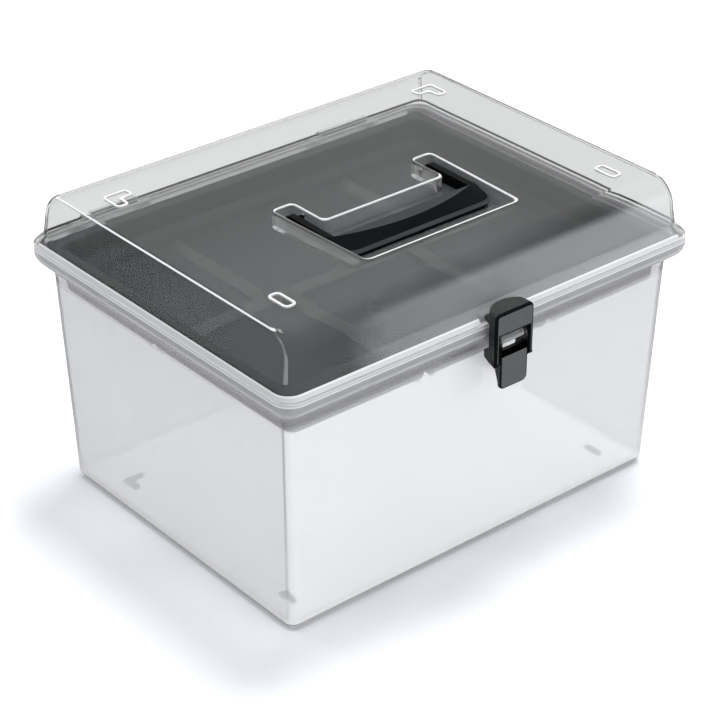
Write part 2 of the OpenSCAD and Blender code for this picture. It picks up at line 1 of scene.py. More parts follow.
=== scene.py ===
# %% [markdown]
# # A clear file box with a lift-out tray
# The object is a tapered box of clear plastic for papers. A smoky tray hangs in its rim, a domed
# clear lid closes it, a black handle folds down into the lid, and a small grey latch holds the
# lid at the front. The first cell loads the fixed frame: every piece below is made in the same
# coordinates, in metres, so nothing has to be fitted afterwards.

# %% Load the frame
import math

import bmesh
import bpy
from mathutils import Matrix, Vector


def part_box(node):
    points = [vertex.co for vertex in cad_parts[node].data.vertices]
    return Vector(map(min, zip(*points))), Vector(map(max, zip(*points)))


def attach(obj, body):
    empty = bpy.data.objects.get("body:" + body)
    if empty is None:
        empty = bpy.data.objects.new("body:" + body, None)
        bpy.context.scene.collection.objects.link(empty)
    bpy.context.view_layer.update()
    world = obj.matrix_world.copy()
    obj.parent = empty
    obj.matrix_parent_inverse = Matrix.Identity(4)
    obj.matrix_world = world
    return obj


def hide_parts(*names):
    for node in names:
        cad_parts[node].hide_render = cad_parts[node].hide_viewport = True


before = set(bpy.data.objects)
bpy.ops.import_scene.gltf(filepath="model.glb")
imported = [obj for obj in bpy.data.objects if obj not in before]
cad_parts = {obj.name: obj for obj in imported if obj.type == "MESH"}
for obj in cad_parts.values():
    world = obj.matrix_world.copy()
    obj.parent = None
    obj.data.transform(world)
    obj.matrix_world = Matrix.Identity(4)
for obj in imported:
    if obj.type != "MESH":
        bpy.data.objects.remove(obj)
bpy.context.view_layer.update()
MM = 0.001

# %% [markdown]
# ## Sizes
# The frame already fixes where everything is. Its heights are written here once, in millimetres
# from the table, and the pieces below use these names instead of bare numbers. Half sizes are
# pairs, along X and along Y. An axis is a pair too, its place in Y and Z, because every hinge of
# this box turns about a line along X.

# %% Heights and half sizes of the object
UNDERSIDE_Z, FLOOR_Z, WALL_TOP_Z, FLARE_TOP_Z, RIM_Z = 1.5, 3.7, 155.5, 169.5, 174.9
LID_Z, SHOULDER_Z, BEAD_Z, DOME_Z, TOP_Z = 175.2, 176.7, 178.3, 183.5, 213.5
TRAY_Z, LIP_Z, TRAY_TOP_Z = 141.0, 171.9, 174.0
WALL, LID_WALL, TRAY_WALL = 2.2, 2.0, 1.8
BASE_HALF, WALL_HALF = (154.0, 118.0), (158.8, 123.5)
RIM_HALF, DOME_HALF = (168.5, 136.0), (163.0, 128.0)
WALL_CORNER, RIM_CORNER, DOME_CORNER = 6.0, 13.0, 8.0
HINGE_AXIS, HANDLE_AXIS = (142.0, 169.5), (-3.0, 207.5)
BAR_AXIS, HOOK_AXIS = (-142.0, 164.5), (-141.0, 154.5)
LATCH_FRONT_Y = -147.0
box_low, box_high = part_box("box")
print("box from the frame, mm:", [round(v / MM, 1) for v in (*box_low, *box_high)])

# %% [markdown]
# ## Helpers for mouldings
# Most of the pieces are thin mouldings whose level sections are rounded rectangles. Each section
# is a one-face grid with its corners bevelled, and neighbouring sections are bridged. This keeps
# the corners truly round and the walls evenly thick, which clear plastic shows at once. Two
# neighbouring sections always differ a little in height, even where a real face is level, because
# a bridge between two rings in one plane can pick the wrong partners.

# %% Section rings and the bridging between them
def ring(bm, half_x, half_y, radius, z, keep_face=False, steps=8):
    """One level rounded rectangle in a bmesh; returns its edges."""
    before = set(bm.edges)
    scale = Vector((half_x * MM, half_y * MM, 1.0))
    place = Matrix.LocRotScale(Vector((0, 0, z * MM)), None, scale)
    made = bmesh.ops.create_grid(bm, x_segments=1, y_segments=1, size=1.0, matrix=place)
    bmesh.ops.bevel(bm, geom=made["verts"], offset=radius * MM, offset_type="OFFSET",
                    segments=steps, profile=0.5, affect="VERTICES", material=-1)
    edges = [e for e in bm.edges if e not in before]
    if not keep_face:
        bmesh.ops.delete(bm, geom=list({f for e in edges for f in e.link_faces}),
                         context="FACES_ONLY")
    return edges


def bridged(bm, sections, close_ends=True):
    """Rings from a list of (half x, half y, corner radius, z), each bridged to the next."""
    ends = (0, len(sections) - 1)
    rings = [ring(bm, *section, keep_face=close_ends and i in ends)
             for i, section in enumerate(sections)]
    for a, b in zip(rings, rings[1:]):
        bmesh.ops.bridge_loops(bm, edges=a + b)
    return rings


# %% [markdown]
# A mesh made this way is only a surface of flat faces. The next helpers turn it into a finished
# object: they point the faces outwards, shade soft bends smoothly and keep real edges crisp.

# %% From bmesh to a finished object
def shade(piece, sharp=38.0):
    """Smooth faces with crisp edges where the surface turns by more than the given angle."""
    bm = bmesh.new()
    bm.from_mesh(piece.data)
    for f in bm.faces:
        f.smooth = True
    for e in bm.edges:
        e.smooth = e.calc_face_angle(math.pi) < math.radians(sharp)
    bm.to_mesh(piece.data)
    bm.free()


def finished(bm, name, sharp=38.0):
    """Closes, shades and links a bmesh as an object whose place is in its mesh."""
    bmesh.ops.remove_doubles(bm, verts=bm.verts, dist=1e-6)
    bmesh.ops.recalc_face_normals(bm, faces=bm.faces)
    mesh = bpy.data.meshes.new(name)
    bm.to_mesh(mesh)
    bm.free()
    piece = bpy.data.objects.new(name, mesh)
    bpy.context.scene.collection.objects.link(piece)
    shade(piece, sharp)
    return piece


def merged(main, others, how="UNION", sharp=38.0):
    """One closed mesh from several solids, or with some cut out of it."""
    for other in others:
        cut = main.modifiers.new(other.name, "BOOLEAN")
        cut.object, cut.operation, cut.solver = other, how, "EXACT"
    ready = main.evaluated_get(bpy.context.evaluated_depsgraph_get())
    mesh = bpy.data.meshes.new_from_object(ready)
    main.modifiers.clear()
    main.data = mesh
    for other in others:
        bpy.data.objects.remove(other)
    shade(main, sharp)
    return main


# %% [markdown]
# No moulded edge is knife sharp. A Bevel modifier rounds the small black parts, and on the latch
# a second, wider one works only along the outline of the front face, as on the real latch. The
# Weighted Normal modifier then lets the large flat faces decide the shading next to the bevels.

# %% Soft edges
def flat_shading(piece):
    """Large flat faces decide the shading along their edges."""
    keep = piece.modifiers.new("flat shading", "WEIGHTED_NORMAL")
    keep.mode, keep.weight, keep.keep_sharp = "FACE_AREA", 80, True


def soft_edges(piece, width, angle=30.0):
    """Rounds a piece's edges and lets its flat faces keep their flat shading."""
    bevel = piece.modifiers.new("soft edges", "BEVEL")
    bevel.width, bevel.segments, bevel.limit_method = width * MM, 3, "ANGLE"
    bevel.angle_limit = math.radians(angle)
    bevel.harden_normals = False
    flat_shading(piece)


def front_bevel(piece, width):
    """Bevels only the outlines of the faces that lie in the latch's front plane."""
    in_front = {}
    for face in piece.data.polygons:
        if face.normal.y < -0.99 and abs(face.center.y / MM - LATCH_FRONT_Y) < 0.01:
            for key in face.edge_keys:
                in_front[key] = in_front.get(key, 0) + 1
    weight = piece.data.attributes.new("bevel_weight_edge", "FLOAT", "EDGE")
    for edge in piece.data.edges:
        weight.data[edge.index].value = 1.0 if in_front.get(edge.key) == 1 else 0.0
    bevel = piece.modifiers.new("front bevel", "BEVEL")
    bevel.width, bevel.segments, bevel.limit_method = width * MM, 2, "WEIGHT"
    bevel.harden_normals, bevel.use_clamp_overlap = False, False


# %% [markdown]
# Small parts of the mouldings, such as ribs, pins and feet, are flat outlines given a thickness,
# or round bars along X. Both are made as solids of their own and merged into their moulding.

# %% Small solids: flat outlines with a thickness, and round bars
def thickened(bm, faces, way):
    """Extrudes faces of a bmesh by a vector in millimetres."""
    grown = bmesh.ops.extrude_face_region(bm, geom=faces)
    moved = [v for v in grown["geom"] if isinstance(v, bmesh.types.BMVert)]
    bmesh.ops.translate(bm, verts=moved, vec=Vector(way) * MM)


def slab(name, outline, low, high, plane="YZ"):
    """A solid from an outline in YZ (thick along X), XZ (along Y) or XY (along Z)."""
    spots = {"YZ": lambda a, b: (low, a, b), "XZ": lambda a, b: (a, low, b),
             "XY": lambda a, b: (a, b, low)}[plane]
    along = {"YZ": (1, 0, 0), "XZ": (0, 1, 0), "XY": (0, 0, 1)}[plane]
    bm = bmesh.new()
    face = bm.faces.new([bm.verts.new(Vector(spots(a, b)) * MM) for a, b in outline])
    thickened(bm, [face], Vector(along) * (high - low))
    return finished(bm, name)


def post(name, outline, radius, z0, z1):
    """An upright solid on an outline in X and Y whose corners are rounded."""
    bm = bmesh.new()
    verts = [bm.verts.new(Vector((x, y, z0)) * MM) for x, y in outline]
    bm.faces.new(verts)
    bmesh.ops.bevel(bm, geom=verts, offset=radius * MM, offset_type="OFFSET", segments=5,
                    profile=0.5, affect="VERTICES", material=-1)
    thickened(bm, bm.faces[:], (0, 0, z1 - z0))
    return finished(bm, name)


def bar(name, axis, radius, x0, x1):
    """A round bar along X, about an axis given in Y and Z."""
    bm = bmesh.new()
    turn = Matrix.Rotation(math.pi / 2, 4, "Y")
    place = Matrix.Translation(Vector(((x0 + x1) / 2, *axis)) * MM) @ turn
    bmesh.ops.create_cone(bm, cap_ends=True, segments=40, radius1=radius * MM,
                          radius2=radius * MM, depth=(x1 - x0) * MM, matrix=place)
    return finished(bm, name)


# %% [markdown]
# Two helpers give the points of bent outlines: an arc round a centre, and a smooth curve through
# a few chosen points. The box's feet and the lid's rings share one more outline, because the rings
# are there to take the feet of another box.

# %% Outlines: arcs, curves and the feet
def arc(centre, radius, first, last, steps=12):
    """Points on an arc round a centre, from one angle to another in degrees."""
    angles = [math.radians(first + (last - first) * i / steps) for i in range(steps + 1)]
    return [(centre[0] + radius * math.cos(a), centre[1] + radius * math.sin(a)) for a in angles]


def curve_through(points, per_span=4):
    """Points on a smooth curve through the given ones, for a profile's bends."""
    out = []
    ends = [points[0], *points, points[-1]]
    for i in range(1, len(ends) - 2):
        p0, p1, p2, p3 = (Vector(p) for p in ends[i - 1:i + 3])
        for k in range(per_span):
            t = k / per_span
            out.append(0.5 * ((2 * p1) + (p2 - p0) * t + (2 * p0 - 5 * p1 + 4 * p2 - p3) * t * t
                              + (3 * p1 - p0 - 3 * p2 + p3) * t ** 3))
    return [tuple(v) for v in out] + [tuple(points[-1])]


def foot_outlines(side, grow):
    """A rear foot's L and a front foot's bar on one side, widened by grow all round."""
    x, rear, front, wide, long = 136.1, 87.6, -96.3, 4.8, 14.5
    ell = [(x + grow, rear + grow), (x - long - grow, rear + grow),
           (x - long - grow, rear - wide - grow), (x - wide - grow, rear - wide - grow),
           (x - wide - grow, rear - long - grow), (x + grow, rear - long - grow)]
    straight = [(x + grow, front - grow), (x + grow, front + long + grow),
                (x - wide - grow, front + long + grow), (x - wide - grow, front - grow)]
    return [[(side * a, b) for a, b in outline] for outline in (ell, straight)]


# %% [markdown]
# ## The clear box
# The real box is one injection moulding: straight leaning walls, a small radius along the bottom,
# and a rim that flares out in a soft quarter round to an upright band with a fine line half way
# down. Each stretch of that profile has a function that gives a section at any inset from the
# outside, so the same function serves the outer and the inner face.

# %% Sections of the box at an inset from its outside
FLARE_SHARES = curve_through([(0.0, 0.0), (0.36, 0.25), (0.75, 0.55), (0.93, 0.78), (1.0, 1.0)])
FLARE_OUT = [rim - wall for rim, wall in zip(RIM_HALF, WALL_HALF)]
BOTTOM_R = 3.0


def lean(z, inset):
    """Half sizes of the leaning walls at a height, with an inset from their outside."""
    share = (z - UNDERSIDE_Z) / (WALL_TOP_Z - UNDERSIDE_Z)
    return [b + (w - b) * share - inset for b, w in zip(BASE_HALF, WALL_HALF)]


def bottom_round(base_z, inset, steps=5):
    """Sections of the rounded bottom edge, from the underside to the wall."""
    hx, hy = lean(base_z + BOTTOM_R, inset)
    out = []
    for i in range(steps + 1):
        a = math.pi / 2 * i / steps
        back = BOTTOM_R * (1 - math.sin(a))
        out.append((hx - back, hy - back, max(WALL_CORNER - inset - back, 0.4),
                    base_z + BOTTOM_R * (1 - math.cos(a))))
    return out


def flare_section(shares, inset):
    """A section of the flare at shares of the way out and up; it is a little thicker below."""
    out, up = shares
    return (WALL_HALF[0] - inset + FLARE_OUT[0] * out, WALL_HALF[1] - inset + FLARE_OUT[1] * out,
            WALL_CORNER - inset + (RIM_CORNER - WALL_CORNER) * out,
            WALL_TOP_Z + (FLARE_TOP_Z - WALL_TOP_Z) * up + inset / 2 * (1 - out))


def rim_section(back, z):
    """A section of the rim, set back from its outside; the lid's edge has the same outline."""
    return (RIM_HALF[0] - back, RIM_HALF[1] - back, RIM_CORNER - back, z)


print("the flare bends out by", [round(v, 1) for v in FLARE_OUT], "mm")

# %% [markdown]
# The sections run up the outside, over the rim's rounded top and back down the inside, so the
# wall is a true closed solid that bends light. A single surface would look like cling film.

# %% The box's wall as one closed solid
RIM_LINE = (171.9, 172.7)
RIM_TOP = [(0.0, 0.7), (0.2, 0.25), (0.6, 0.06), (1.1, 0.0), (1.6, 0.06), (2.0, 0.2), (WALL, 0.7)]
flare_bends = [shares for shares in FLARE_SHARES if 0.05 < shares[0] < 0.995]
sections = bottom_round(UNDERSIDE_Z, 0.0)
sections.append((*lean(WALL_TOP_Z - 2.5, 0.0), WALL_CORNER, WALL_TOP_Z - 2.5))
sections += [flare_section(shares, 0.0) for shares in flare_bends]
sections += [rim_section(0.0, z) for z in (FLARE_TOP_Z, *RIM_LINE)]
sections += [rim_section(back, RIM_Z - down) for back, down in RIM_TOP]
sections.append(rim_section(WALL, FLARE_TOP_Z + 0.2))
sections += [flare_section(shares, WALL) for shares in reversed(flare_bends)]
sections.append((*lean(WALL_TOP_Z - 1.5, WALL), WALL_CORNER - WALL, WALL_TOP_Z - 1.5))
sections += reversed(bottom_round(FLOOR_Z, WALL))
bm = bmesh.new()
bridged(bm, sections)
tub = finished(bm, "clear_box")
print("clear_box:", len(tub.data.polygons), "faces before its small parts")

# %% [markdown]
# The box carries more than its walls: ribs in the flare that hold the tray's lip, ears for the
# lid's hinges, the bar that the latch turns on, and low feet that nest in the lid of a box below.
# All of them belong to the same moulding, so they are merged into one closed mesh. Their outlines
# start from the middle of the flare's wall, because an exact boolean dislikes faces that coincide.

# %% Ribs, ears, latch bar and feet as small solids
RIM_MIDDLE_Y = RIM_HALF[1] - WALL / 2
RIB_INNER_Y, RIB_X, RIB_HALF = 120.6, 103.0, 1.0
HINGE_X, EAR_AWAY, EAR_HALF, EAR_R = 100.0, 26.0, 4.0, 5.0
BAR_R, BAR_HALF, BAR_PIN_R, BAR_PIN_HALF = 3.25, 9.3, 1.9, 11.15


def flare_middle_point(share):
    """Middle of the flare's wall on the rear side, at a share of the way along its curve."""
    section = flare_section(FLARE_SHARES[round(share * (len(FLARE_SHARES) - 1))], WALL / 2)
    return (section[1], section[3])


flare_middle = [flare_middle_point(share) for share in (0, 0.25, 0.5, 0.75, 1)]
rib = flare_middle + [(RIM_MIDDLE_Y, LIP_Z), (RIB_INNER_Y, LIP_Z), (RIB_INNER_Y, WALL_TOP_Z)]
small_parts = [slab("rib", [(side * y, z) for y, z in rib], x - RIB_HALF, x + RIB_HALF)
               for x in (-RIB_X, RIB_X) for side in (-1, 1)]
y, z = HINGE_AXIS
ear_arm = flare_middle[2:] + [(RIM_MIDDLE_Y, z + EAR_R), (y, z + EAR_R), (y, z - EAR_R)]
for middle in (-HINGE_X, HINGE_X):
    for x in (middle - EAR_AWAY, middle + EAR_AWAY):
        small_parts.append(slab("ear_arm", ear_arm, x - EAR_HALF, x + EAR_HALF))
        small_parts.append(bar("ear", HINGE_AXIS, EAR_R, x - EAR_HALF, x + EAR_HALF))
y, z = BAR_AXIS
web = [(y, z - BAR_R)] + [(-a, b) for a, b in flare_middle[1:]] + [(y, z + BAR_R)]
small_parts += [slab("latch_web", web, -BAR_HALF, BAR_HALF),
                bar("latch_bar", BAR_AXIS, BAR_R, -BAR_HALF, BAR_HALF),
                bar("latch_pins", BAR_AXIS, BAR_PIN_R, -BAR_PIN_HALF, BAR_PIN_HALF)]
small_parts += [post("foot", outline, 1.9, 0.0, UNDERSIDE_Z + 1.1)
                for side in (-1, 1) for outline in foot_outlines(side, 0.0)]
print("small parts of the box:", len(small_parts))

# %% Merge them into the box and bore its ears
HINGE_BORE_R, HINGE_BORE_HALF = 2.56, 31.0
merged(tub, small_parts)
bores = [bar("bore", HINGE_AXIS, HINGE_BORE_R, x - HINGE_BORE_HALF, x + HINGE_BORE_HALF)
         for x in (-HINGE_X, HINGE_X)]
merged(tub, bores, "DIFFERENCE")
flat_shading(tub)
print("clear_box:", len(tub.data.polygons), "faces with ribs, ears, latch bar and feet")

# %% [markdown]
# ## The clear lid
# The lid is a thin dome on a sloping shoulder. Its long edges have a large radius and its ends a
# small one, so each level section is again a rounded rectangle, only with its own width, depth and
# corner. The outside and the inside come from one function with a different inset.

# %% Sections of the dome for its outside and its inside
LONG_R, LONG_BEND_Y, END_R, TOP_HALF_X = 19.0, 107.5, 3.5, 159.0


def dome_sections(inset, low_z, steps=12):
    """Level sections of the dome from its foot to its flat top, shrunk by an inset."""
    long_r, end_r = LONG_R - inset, END_R - inset / 2
    bend_z, end_z = TOP_Z - LONG_R, TOP_Z - inset - end_r
    foot_x, foot_y, corner = DOME_HALF[0] - inset, DOME_HALF[1] - inset, DOME_CORNER - inset
    out = [(foot_x, foot_y, corner, low_z)]
    for i in range(steps + 1):
        rise = math.sin(math.pi / 2 * i / steps)
        z = bend_z + long_r * rise
        drop, share = max(z - end_z, 0.0), min((z - low_z) / (end_z - low_z), 1.0)
        x = foot_x + (TOP_HALF_X - inset - foot_x) * share
        x -= end_r - math.sqrt(max(end_r ** 2 - drop ** 2, 0.0))
        y = LONG_BEND_Y + long_r * math.sqrt(max(1 - rise * rise, 0.0))
        out.append((x, y, corner - 3.0 * share, z))
    return out


# %% [markdown]
# The handle lies in a U-shaped recess round a raised island. The recess is shallow, with an upright
# wall round most of it and a front wall that slopes down towards the grip, so that fingers can get
# under it. The flat top is filled round that outline with triangles, and the recess is taken down
# level by level inside it.

# %% The handle's recess
RECESS_Z, RECESS_REAR_Y, RECESS_R = 203.0, 7.0, 3.5
RECESS_HALF_REAR, RECESS_HALF_FRONT = 65.5, 62.3
ISLAND_HALF, ISLAND_FRONT_Y = 50.0, -24.6


def recess_ring(bm, grow, z, front):
    """The recess's U outline at a height, as edges; its front edge can lie further back."""
    rear, side, island = RECESS_REAR_Y + grow, ISLAND_HALF - grow, ISLAND_FRONT_Y + grow
    rear_x, front_x = RECESS_HALF_REAR + grow, RECESS_HALF_FRONT + grow
    spots = [(-rear_x, rear), (-side, rear), (-side, island), (side, island),
             (side, rear), (rear_x, rear), (front_x, front), (-front_x, front)]
    verts = [bm.verts.new(Vector((x, y, z)) * MM) for x, y in spots]
    before = set(bm.edges)
    bm.faces.new(verts)
    bmesh.ops.bevel(bm, geom=verts, offset=(RECESS_R + grow) * MM, offset_type="OFFSET",
                    segments=5, profile=0.5, affect="VERTICES", material=-1)
    edges = [e for e in bm.edges if e not in before]
    return edges, [f for e in edges for f in e.link_faces][0]


def recessed_top(bm, top_edges, levels):
    """Fills a flat top round the recess and takes the recess down through the given levels."""
    rings = []
    for i, (grow, z, front) in enumerate(levels):
        edges, face = recess_ring(bm, grow, z, front)
        if i < len(levels) - 1:
            bmesh.ops.delete(bm, geom=[face], context="FACES_ONLY")
        rings.append(edges)
    bmesh.ops.triangle_fill(bm, use_beauty=True, edges=top_edges + rings[0])
    for a, b in zip(rings, rings[1:]):
        bmesh.ops.bridge_loops(bm, edges=a + b)


# %% [markdown]
# The shell is two skins, joined along the lid's lower edge. The shoulder steps inwards in two bands
# with a thin bead between them, which gets a painted highlight line further down. Each level of the
# recess says how much wider it is than the recess's floor, its height, and where its front edge lies.

# %% The lid's shell
SHOULDER = [(RIM_HALF[0] - 0.5, RIM_HALF[1] - 0.7, RIM_CORNER - 0.5, SHOULDER_Z),
            (RIM_HALF[0] - 1.3, RIM_HALF[1] - 1.9, RIM_CORNER - 1.3, BEAD_Z - 0.45),
            (RIM_HALF[0] - 2.0, RIM_HALF[1] - 2.8, RIM_CORNER - 1.9, BEAD_Z + 0.45),
            (DOME_HALF[0] + 0.7, DOME_HALF[1] + 1.0, DOME_CORNER + 0.4, DOME_Z - 0.8)]
OUTER_RECESS = [(1.05, TOP_Z, -82.4), (1.0, TOP_Z - 0.05, -81.4), (0.3, TOP_Z - 0.3, -80.7),
                (0.0, TOP_Z - 1.0, -79.6), (0.0, RECESS_Z + 0.9, -69.6),
                (-0.3, RECESS_Z + 0.25, -68.8), (-0.9, RECESS_Z, -68.0)]
INNER_RECESS = [(2.6, TOP_Z - LID_WALL, -81.4), (2.15, TOP_Z - 2.2, -81.0),
                (2.0, TOP_Z - 2.6, -80.5), (2.0, RECESS_Z - 1.2, -70.1),
                (1.8, RECESS_Z - 1.8, -69.3), (1.2, RECESS_Z - LID_WALL, -68.7)]
bm = bmesh.new()
outer = bridged(bm, [rim_section(1.0, LID_Z), rim_section(0.4, LID_Z + 0.06),
                     rim_section(0.0, LID_Z + 0.4), rim_section(0.0, SHOULDER_Z - 0.5),
                     *SHOULDER, *dome_sections(0.0, DOME_Z)], close_ends=False)
inner = bridged(bm, [rim_section(1.9, LID_Z + 0.06), rim_section(2.2, LID_Z + 0.3),
                     rim_section(2.2, SHOULDER_Z - 0.75),
                     *dome_sections(LID_WALL, DOME_Z - 1.0)], close_ends=False)
bmesh.ops.bridge_loops(bm, edges=outer[0] + inner[0])
recessed_top(bm, outer[-1], OUTER_RECESS)
recessed_top(bm, inner[-1], INNER_RECESS)
lid = finished(bm, "clear_lid")
print("clear_lid:", len(lid.data.polygons), "faces before its small parts")

# %% [markdown]
# The lid's small parts are the hinge knuckles at the back with their stub pins, the pad under the
# latch hook, and the low rings on the top in which the feet of another box stand. The heel under
# each knuckle is what stops the open lid against the rim.

# %% Knuckles, pad and stacking rings, merged into the lid
KNUCKLE_HALF, STUB_R, STUB_HALF, PAD_HALF = 21.7, 2.5, 29.7, 18.0
y, z = HINGE_AXIS
knuckle_web = [(RIM_MIDDLE_Y, LID_Z), (RIM_MIDDLE_Y, SHOULDER_Z), (y, SHOULDER_Z), (y + EAR_R, z),
               (y + 3.3, z - 5.4), (y, z - EAR_R), (y, z), (137.5, z), (137.5, LID_Z)]
small_parts = []
for x in (-HINGE_X, HINGE_X):
    small_parts.append(slab("web", knuckle_web, x - KNUCKLE_HALF, x + KNUCKLE_HALF))
    small_parts.append(bar("knuckle", HINGE_AXIS, EAR_R, x - KNUCKLE_HALF, x + KNUCKLE_HALF))
    small_parts.append(bar("stub_pins", HINGE_AXIS, STUB_R, x - STUB_HALF, x + STUB_HALF))
catch_pad = [(-135.7, LID_Z), (-135.7, 181.0), (-135.2, 181.5), (-127.0, 181.5), (-127.0, 181.2),
             (-134.6, 176.0)]
small_parts.append(slab("catch_pad", catch_pad, -PAD_HALF, PAD_HALF))
merged(lid, small_parts)
merged(lid, [post("ring", outline, 3.4, TOP_Z - 0.5, TOP_Z + 1.0)
             for side in (-1, 1) for outline in foot_outlines(side, 2.2)])
merged(lid, [post("ring_hole", outline, 2.0, TOP_Z, TOP_Z + 2.0)
             for side in (-1, 1) for outline in foot_outlines(side, 0.6)], "DIFFERENCE")
merged(lid, [bar("bore", HANDLE_AXIS, 2.06, x - 2, x + 2) for x in (-49, 49)], "DIFFERENCE")
flat_shading(lid)
print("clear_lid:", len(lid.data.polygons), "faces with hinges, pad, rings and bores")

# %% [markdown]
# ## The smoky tray
# The tray is a shallow pan whose flat lip rests on the box's ribs. Like the box, it is one closed
# solid whose sections run up the outside, over the lip and down the inside.

# %% The tray's pan
TRAY_BASE_HALF, TRAY_TOP_HALF, PAN_CORNER = (152.57, 118.72), (153.6, 119.9), 8.0
PAN_R = 4.5


def tray_half(z, inset):
    """Half sizes of the tray's leaning walls at a height."""
    share = (z - TRAY_Z) / (TRAY_TOP_Z - TRAY_Z)
    return [b + (t - b) * share - inset for b, t in zip(TRAY_BASE_HALF, TRAY_TOP_HALF)]


def pan_bottom(base_z, inset, steps=6):
    """Sections of the tray's rounded bottom edge."""
    hx, hy = tray_half(base_z + PAN_R, inset)
    out = []
    for i in range(steps + 1):
        a = math.pi / 2 * i / steps
        back = PAN_R * (1 - math.sin(a))
        out.append((hx - back, hy - back, PAN_CORNER - inset - back,
                    base_z + PAN_R * (1 - math.cos(a))))
    return out


pan_out = [*pan_bottom(TRAY_Z, 0.0), (*tray_half(LIP_Z - 0.5, 0.0), PAN_CORNER, LIP_Z - 0.5),
           (153.9, 120.2, 8.2, LIP_Z), (154.5, 120.8, 8.4, 172.1), (159.5, 127.5, 5.7, 172.2),
           (159.8, 127.8, 6.0, 172.6), (159.8, 127.8, 6.0, 173.6), (159.4, 127.4, 5.6, TRAY_TOP_Z)]
pan_in = [(153.0, 119.3, 7.4, 173.95), (152.2, 118.5, 6.6, 173.7),
          (*tray_half(173.0, TRAY_WALL), PAN_CORNER - TRAY_WALL, 173.0),
          *reversed(pan_bottom(TRAY_Z + TRAY_WALL, TRAY_WALL))]
bm = bmesh.new()
bridged(bm, pan_out + pan_in)
tray = finished(bm, "smoky_tray")
print("smoky_tray:", len(tray.data.polygons), "faces before its folds")

# %% [markdown]
# Hollow folds rise from the tray's floor and divide it into six shallow compartments. Each fold is
# a tent-shaped solid merged into the pan, with a smaller tent cut out from below, so the floor
# keeps its thickness over the folds.

# %% Folds in the tray's floor
FRONT_FOLDS_X, REAR_FOLDS_X, LONG_FOLD_Y = (-46.5, 57.0), (-62.5, 84.0), 18.0


def fold(skin, x, start, end):
    """One tent along Y at x, or along X where x is None; skin is added over the hollow."""
    foot, ridge_z, base_z = 5.5 + skin, 147.0 + skin, TRAY_Z if skin else TRAY_Z - 1.0
    tent = [(-foot, base_z), (-2.2, ridge_z), (foot, base_z)]
    if x is None:
        return slab("fold", [(LONG_FOLD_Y + a, b) for a, b in tent], start, end)
    return slab("fold", [(x + a, b) for a, b in tent], start, end, plane="XZ")


def all_folds(skin, reach_x, reach_y):
    """The front row's two folds, the rear row's two, and the long one between the rows."""
    made = [fold(skin, x, -reach_y, LONG_FOLD_Y) for x in FRONT_FOLDS_X]
    made += [fold(skin, x, LONG_FOLD_Y, reach_y) for x in REAR_FOLDS_X]
    return made + [fold(skin, None, -reach_x, reach_x)]


merged(tray, all_folds(TRAY_WALL, 151.6, 117.8))
merged(tray, all_folds(0.0, 156.0, 122.0), "DIFFERENCE")
flat_shading(tray)
print("smoky_tray:", len(tray.data.polygons), "faces")

# %% [markdown]
# ## The carry handle
# The handle is a flat black bail. Its arms are plain bars with round ends on stub pins. Its grip is
# wider and has three facets: a lens-shaped one at the back, a broad glossy one on top and a narrow
# one at the front. The grip is bridged from sections along X, which let the facets widen and close.

# %% The handle's grip
GRIP_HALF, GRIP_REAR_Y, GRIP_FRONT_Y, GRIP_CORNER = 60.5, -39.5, -62.5, 10.0


def grip_section(bm, x, keep_face):
    """The grip's outline at x: its rear edge is straight and its front corners are round."""
    past = max(abs(x) - (GRIP_HALF - GRIP_CORNER), 0.0)
    front = GRIP_FRONT_Y + GRIP_CORNER - math.sqrt(max(GRIP_CORNER ** 2 - past ** 2, 0.0))
    bulge = 11.5 * (1.0 - (x / GRIP_HALF) ** 2)
    crest = max(GRIP_REAR_Y - 1.5 - bulge, front + 6.0)
    spots = [(GRIP_REAR_Y, 203.6), (GRIP_REAR_Y, 209.6), (crest, 211.7), (front + 2.0, 208.3),
             (front, 206.4), (front + 0.7, 203.7)]
    verts = [bm.verts.new(Vector((x, y, z)) * MM) for y, z in spots]
    before = set(bm.edges)
    face = bm.faces.new(verts)
    edges = [e for e in bm.edges if e not in before]
    if not keep_face:
        bmesh.ops.delete(bm, geom=[face], context="FACES_ONLY")
    return edges


bm = bmesh.new()
corner_x = [GRIP_HALF, 60.2, 59.4, 58.0, 56.0, 53.5, GRIP_HALF - GRIP_CORNER]
stations = [-x for x in corner_x] + list(range(-45, 46, 5)) + corner_x[::-1]
rings = [grip_section(bm, x, abs(x) == GRIP_HALF) for x in stations]
for a, b in zip(rings, rings[1:]):
    bmesh.ops.bridge_loops(bm, edges=a + b)
handle = finished(bm, "carry_grip", 24.0)
print("carry_grip:", len(handle.data.polygons), "faces in the grip")

# %% The handle's arms and pins
ARM_R, ARM_INNER_X, ARM_OUTER_X, PIN_R, PIN_INNER_X = 4.2, 55.6, 60.4, 2.0, 48.3
arm = arc(HANDLE_AXIS, ARM_R, -90, 90, 16) + [(-42.0, 211.0), (-46.0, 209.6), (-46.0, 203.9)]
parts = []
for side in (-1, 1):
    parts.append(slab("arm", arm, *sorted((side * ARM_INNER_X, side * ARM_OUTER_X))))
    parts.append(bar("pin", HANDLE_AXIS, PIN_R, *sorted((side * PIN_INNER_X, side * 57.0))))
merged(handle, parts, sharp=24.0)
soft_edges(handle, 0.55, 22.0)
print("carry_grip:", len(handle.data.polygons), "faces before its soft edges")

# %% [markdown]
# ## The latch
# The latch is a pair of small dark mouldings. The lever is a plate whose two cheeks turn on the
# clear bar of the box. The loop turns on the lever, and its top plate reaches over the lid's pad.
# Both are built from a side view, cut to their rounded front view and given soft edges.

# %% The lever
LEVER_HALF, LEVER_LOW_Z, LEVER_INNER, CHEEK_R = 11.3, 131.5, 9.6, 3.9
PLATE_BACK_Y, PIN_HOLE_R = -144.6, 1.96


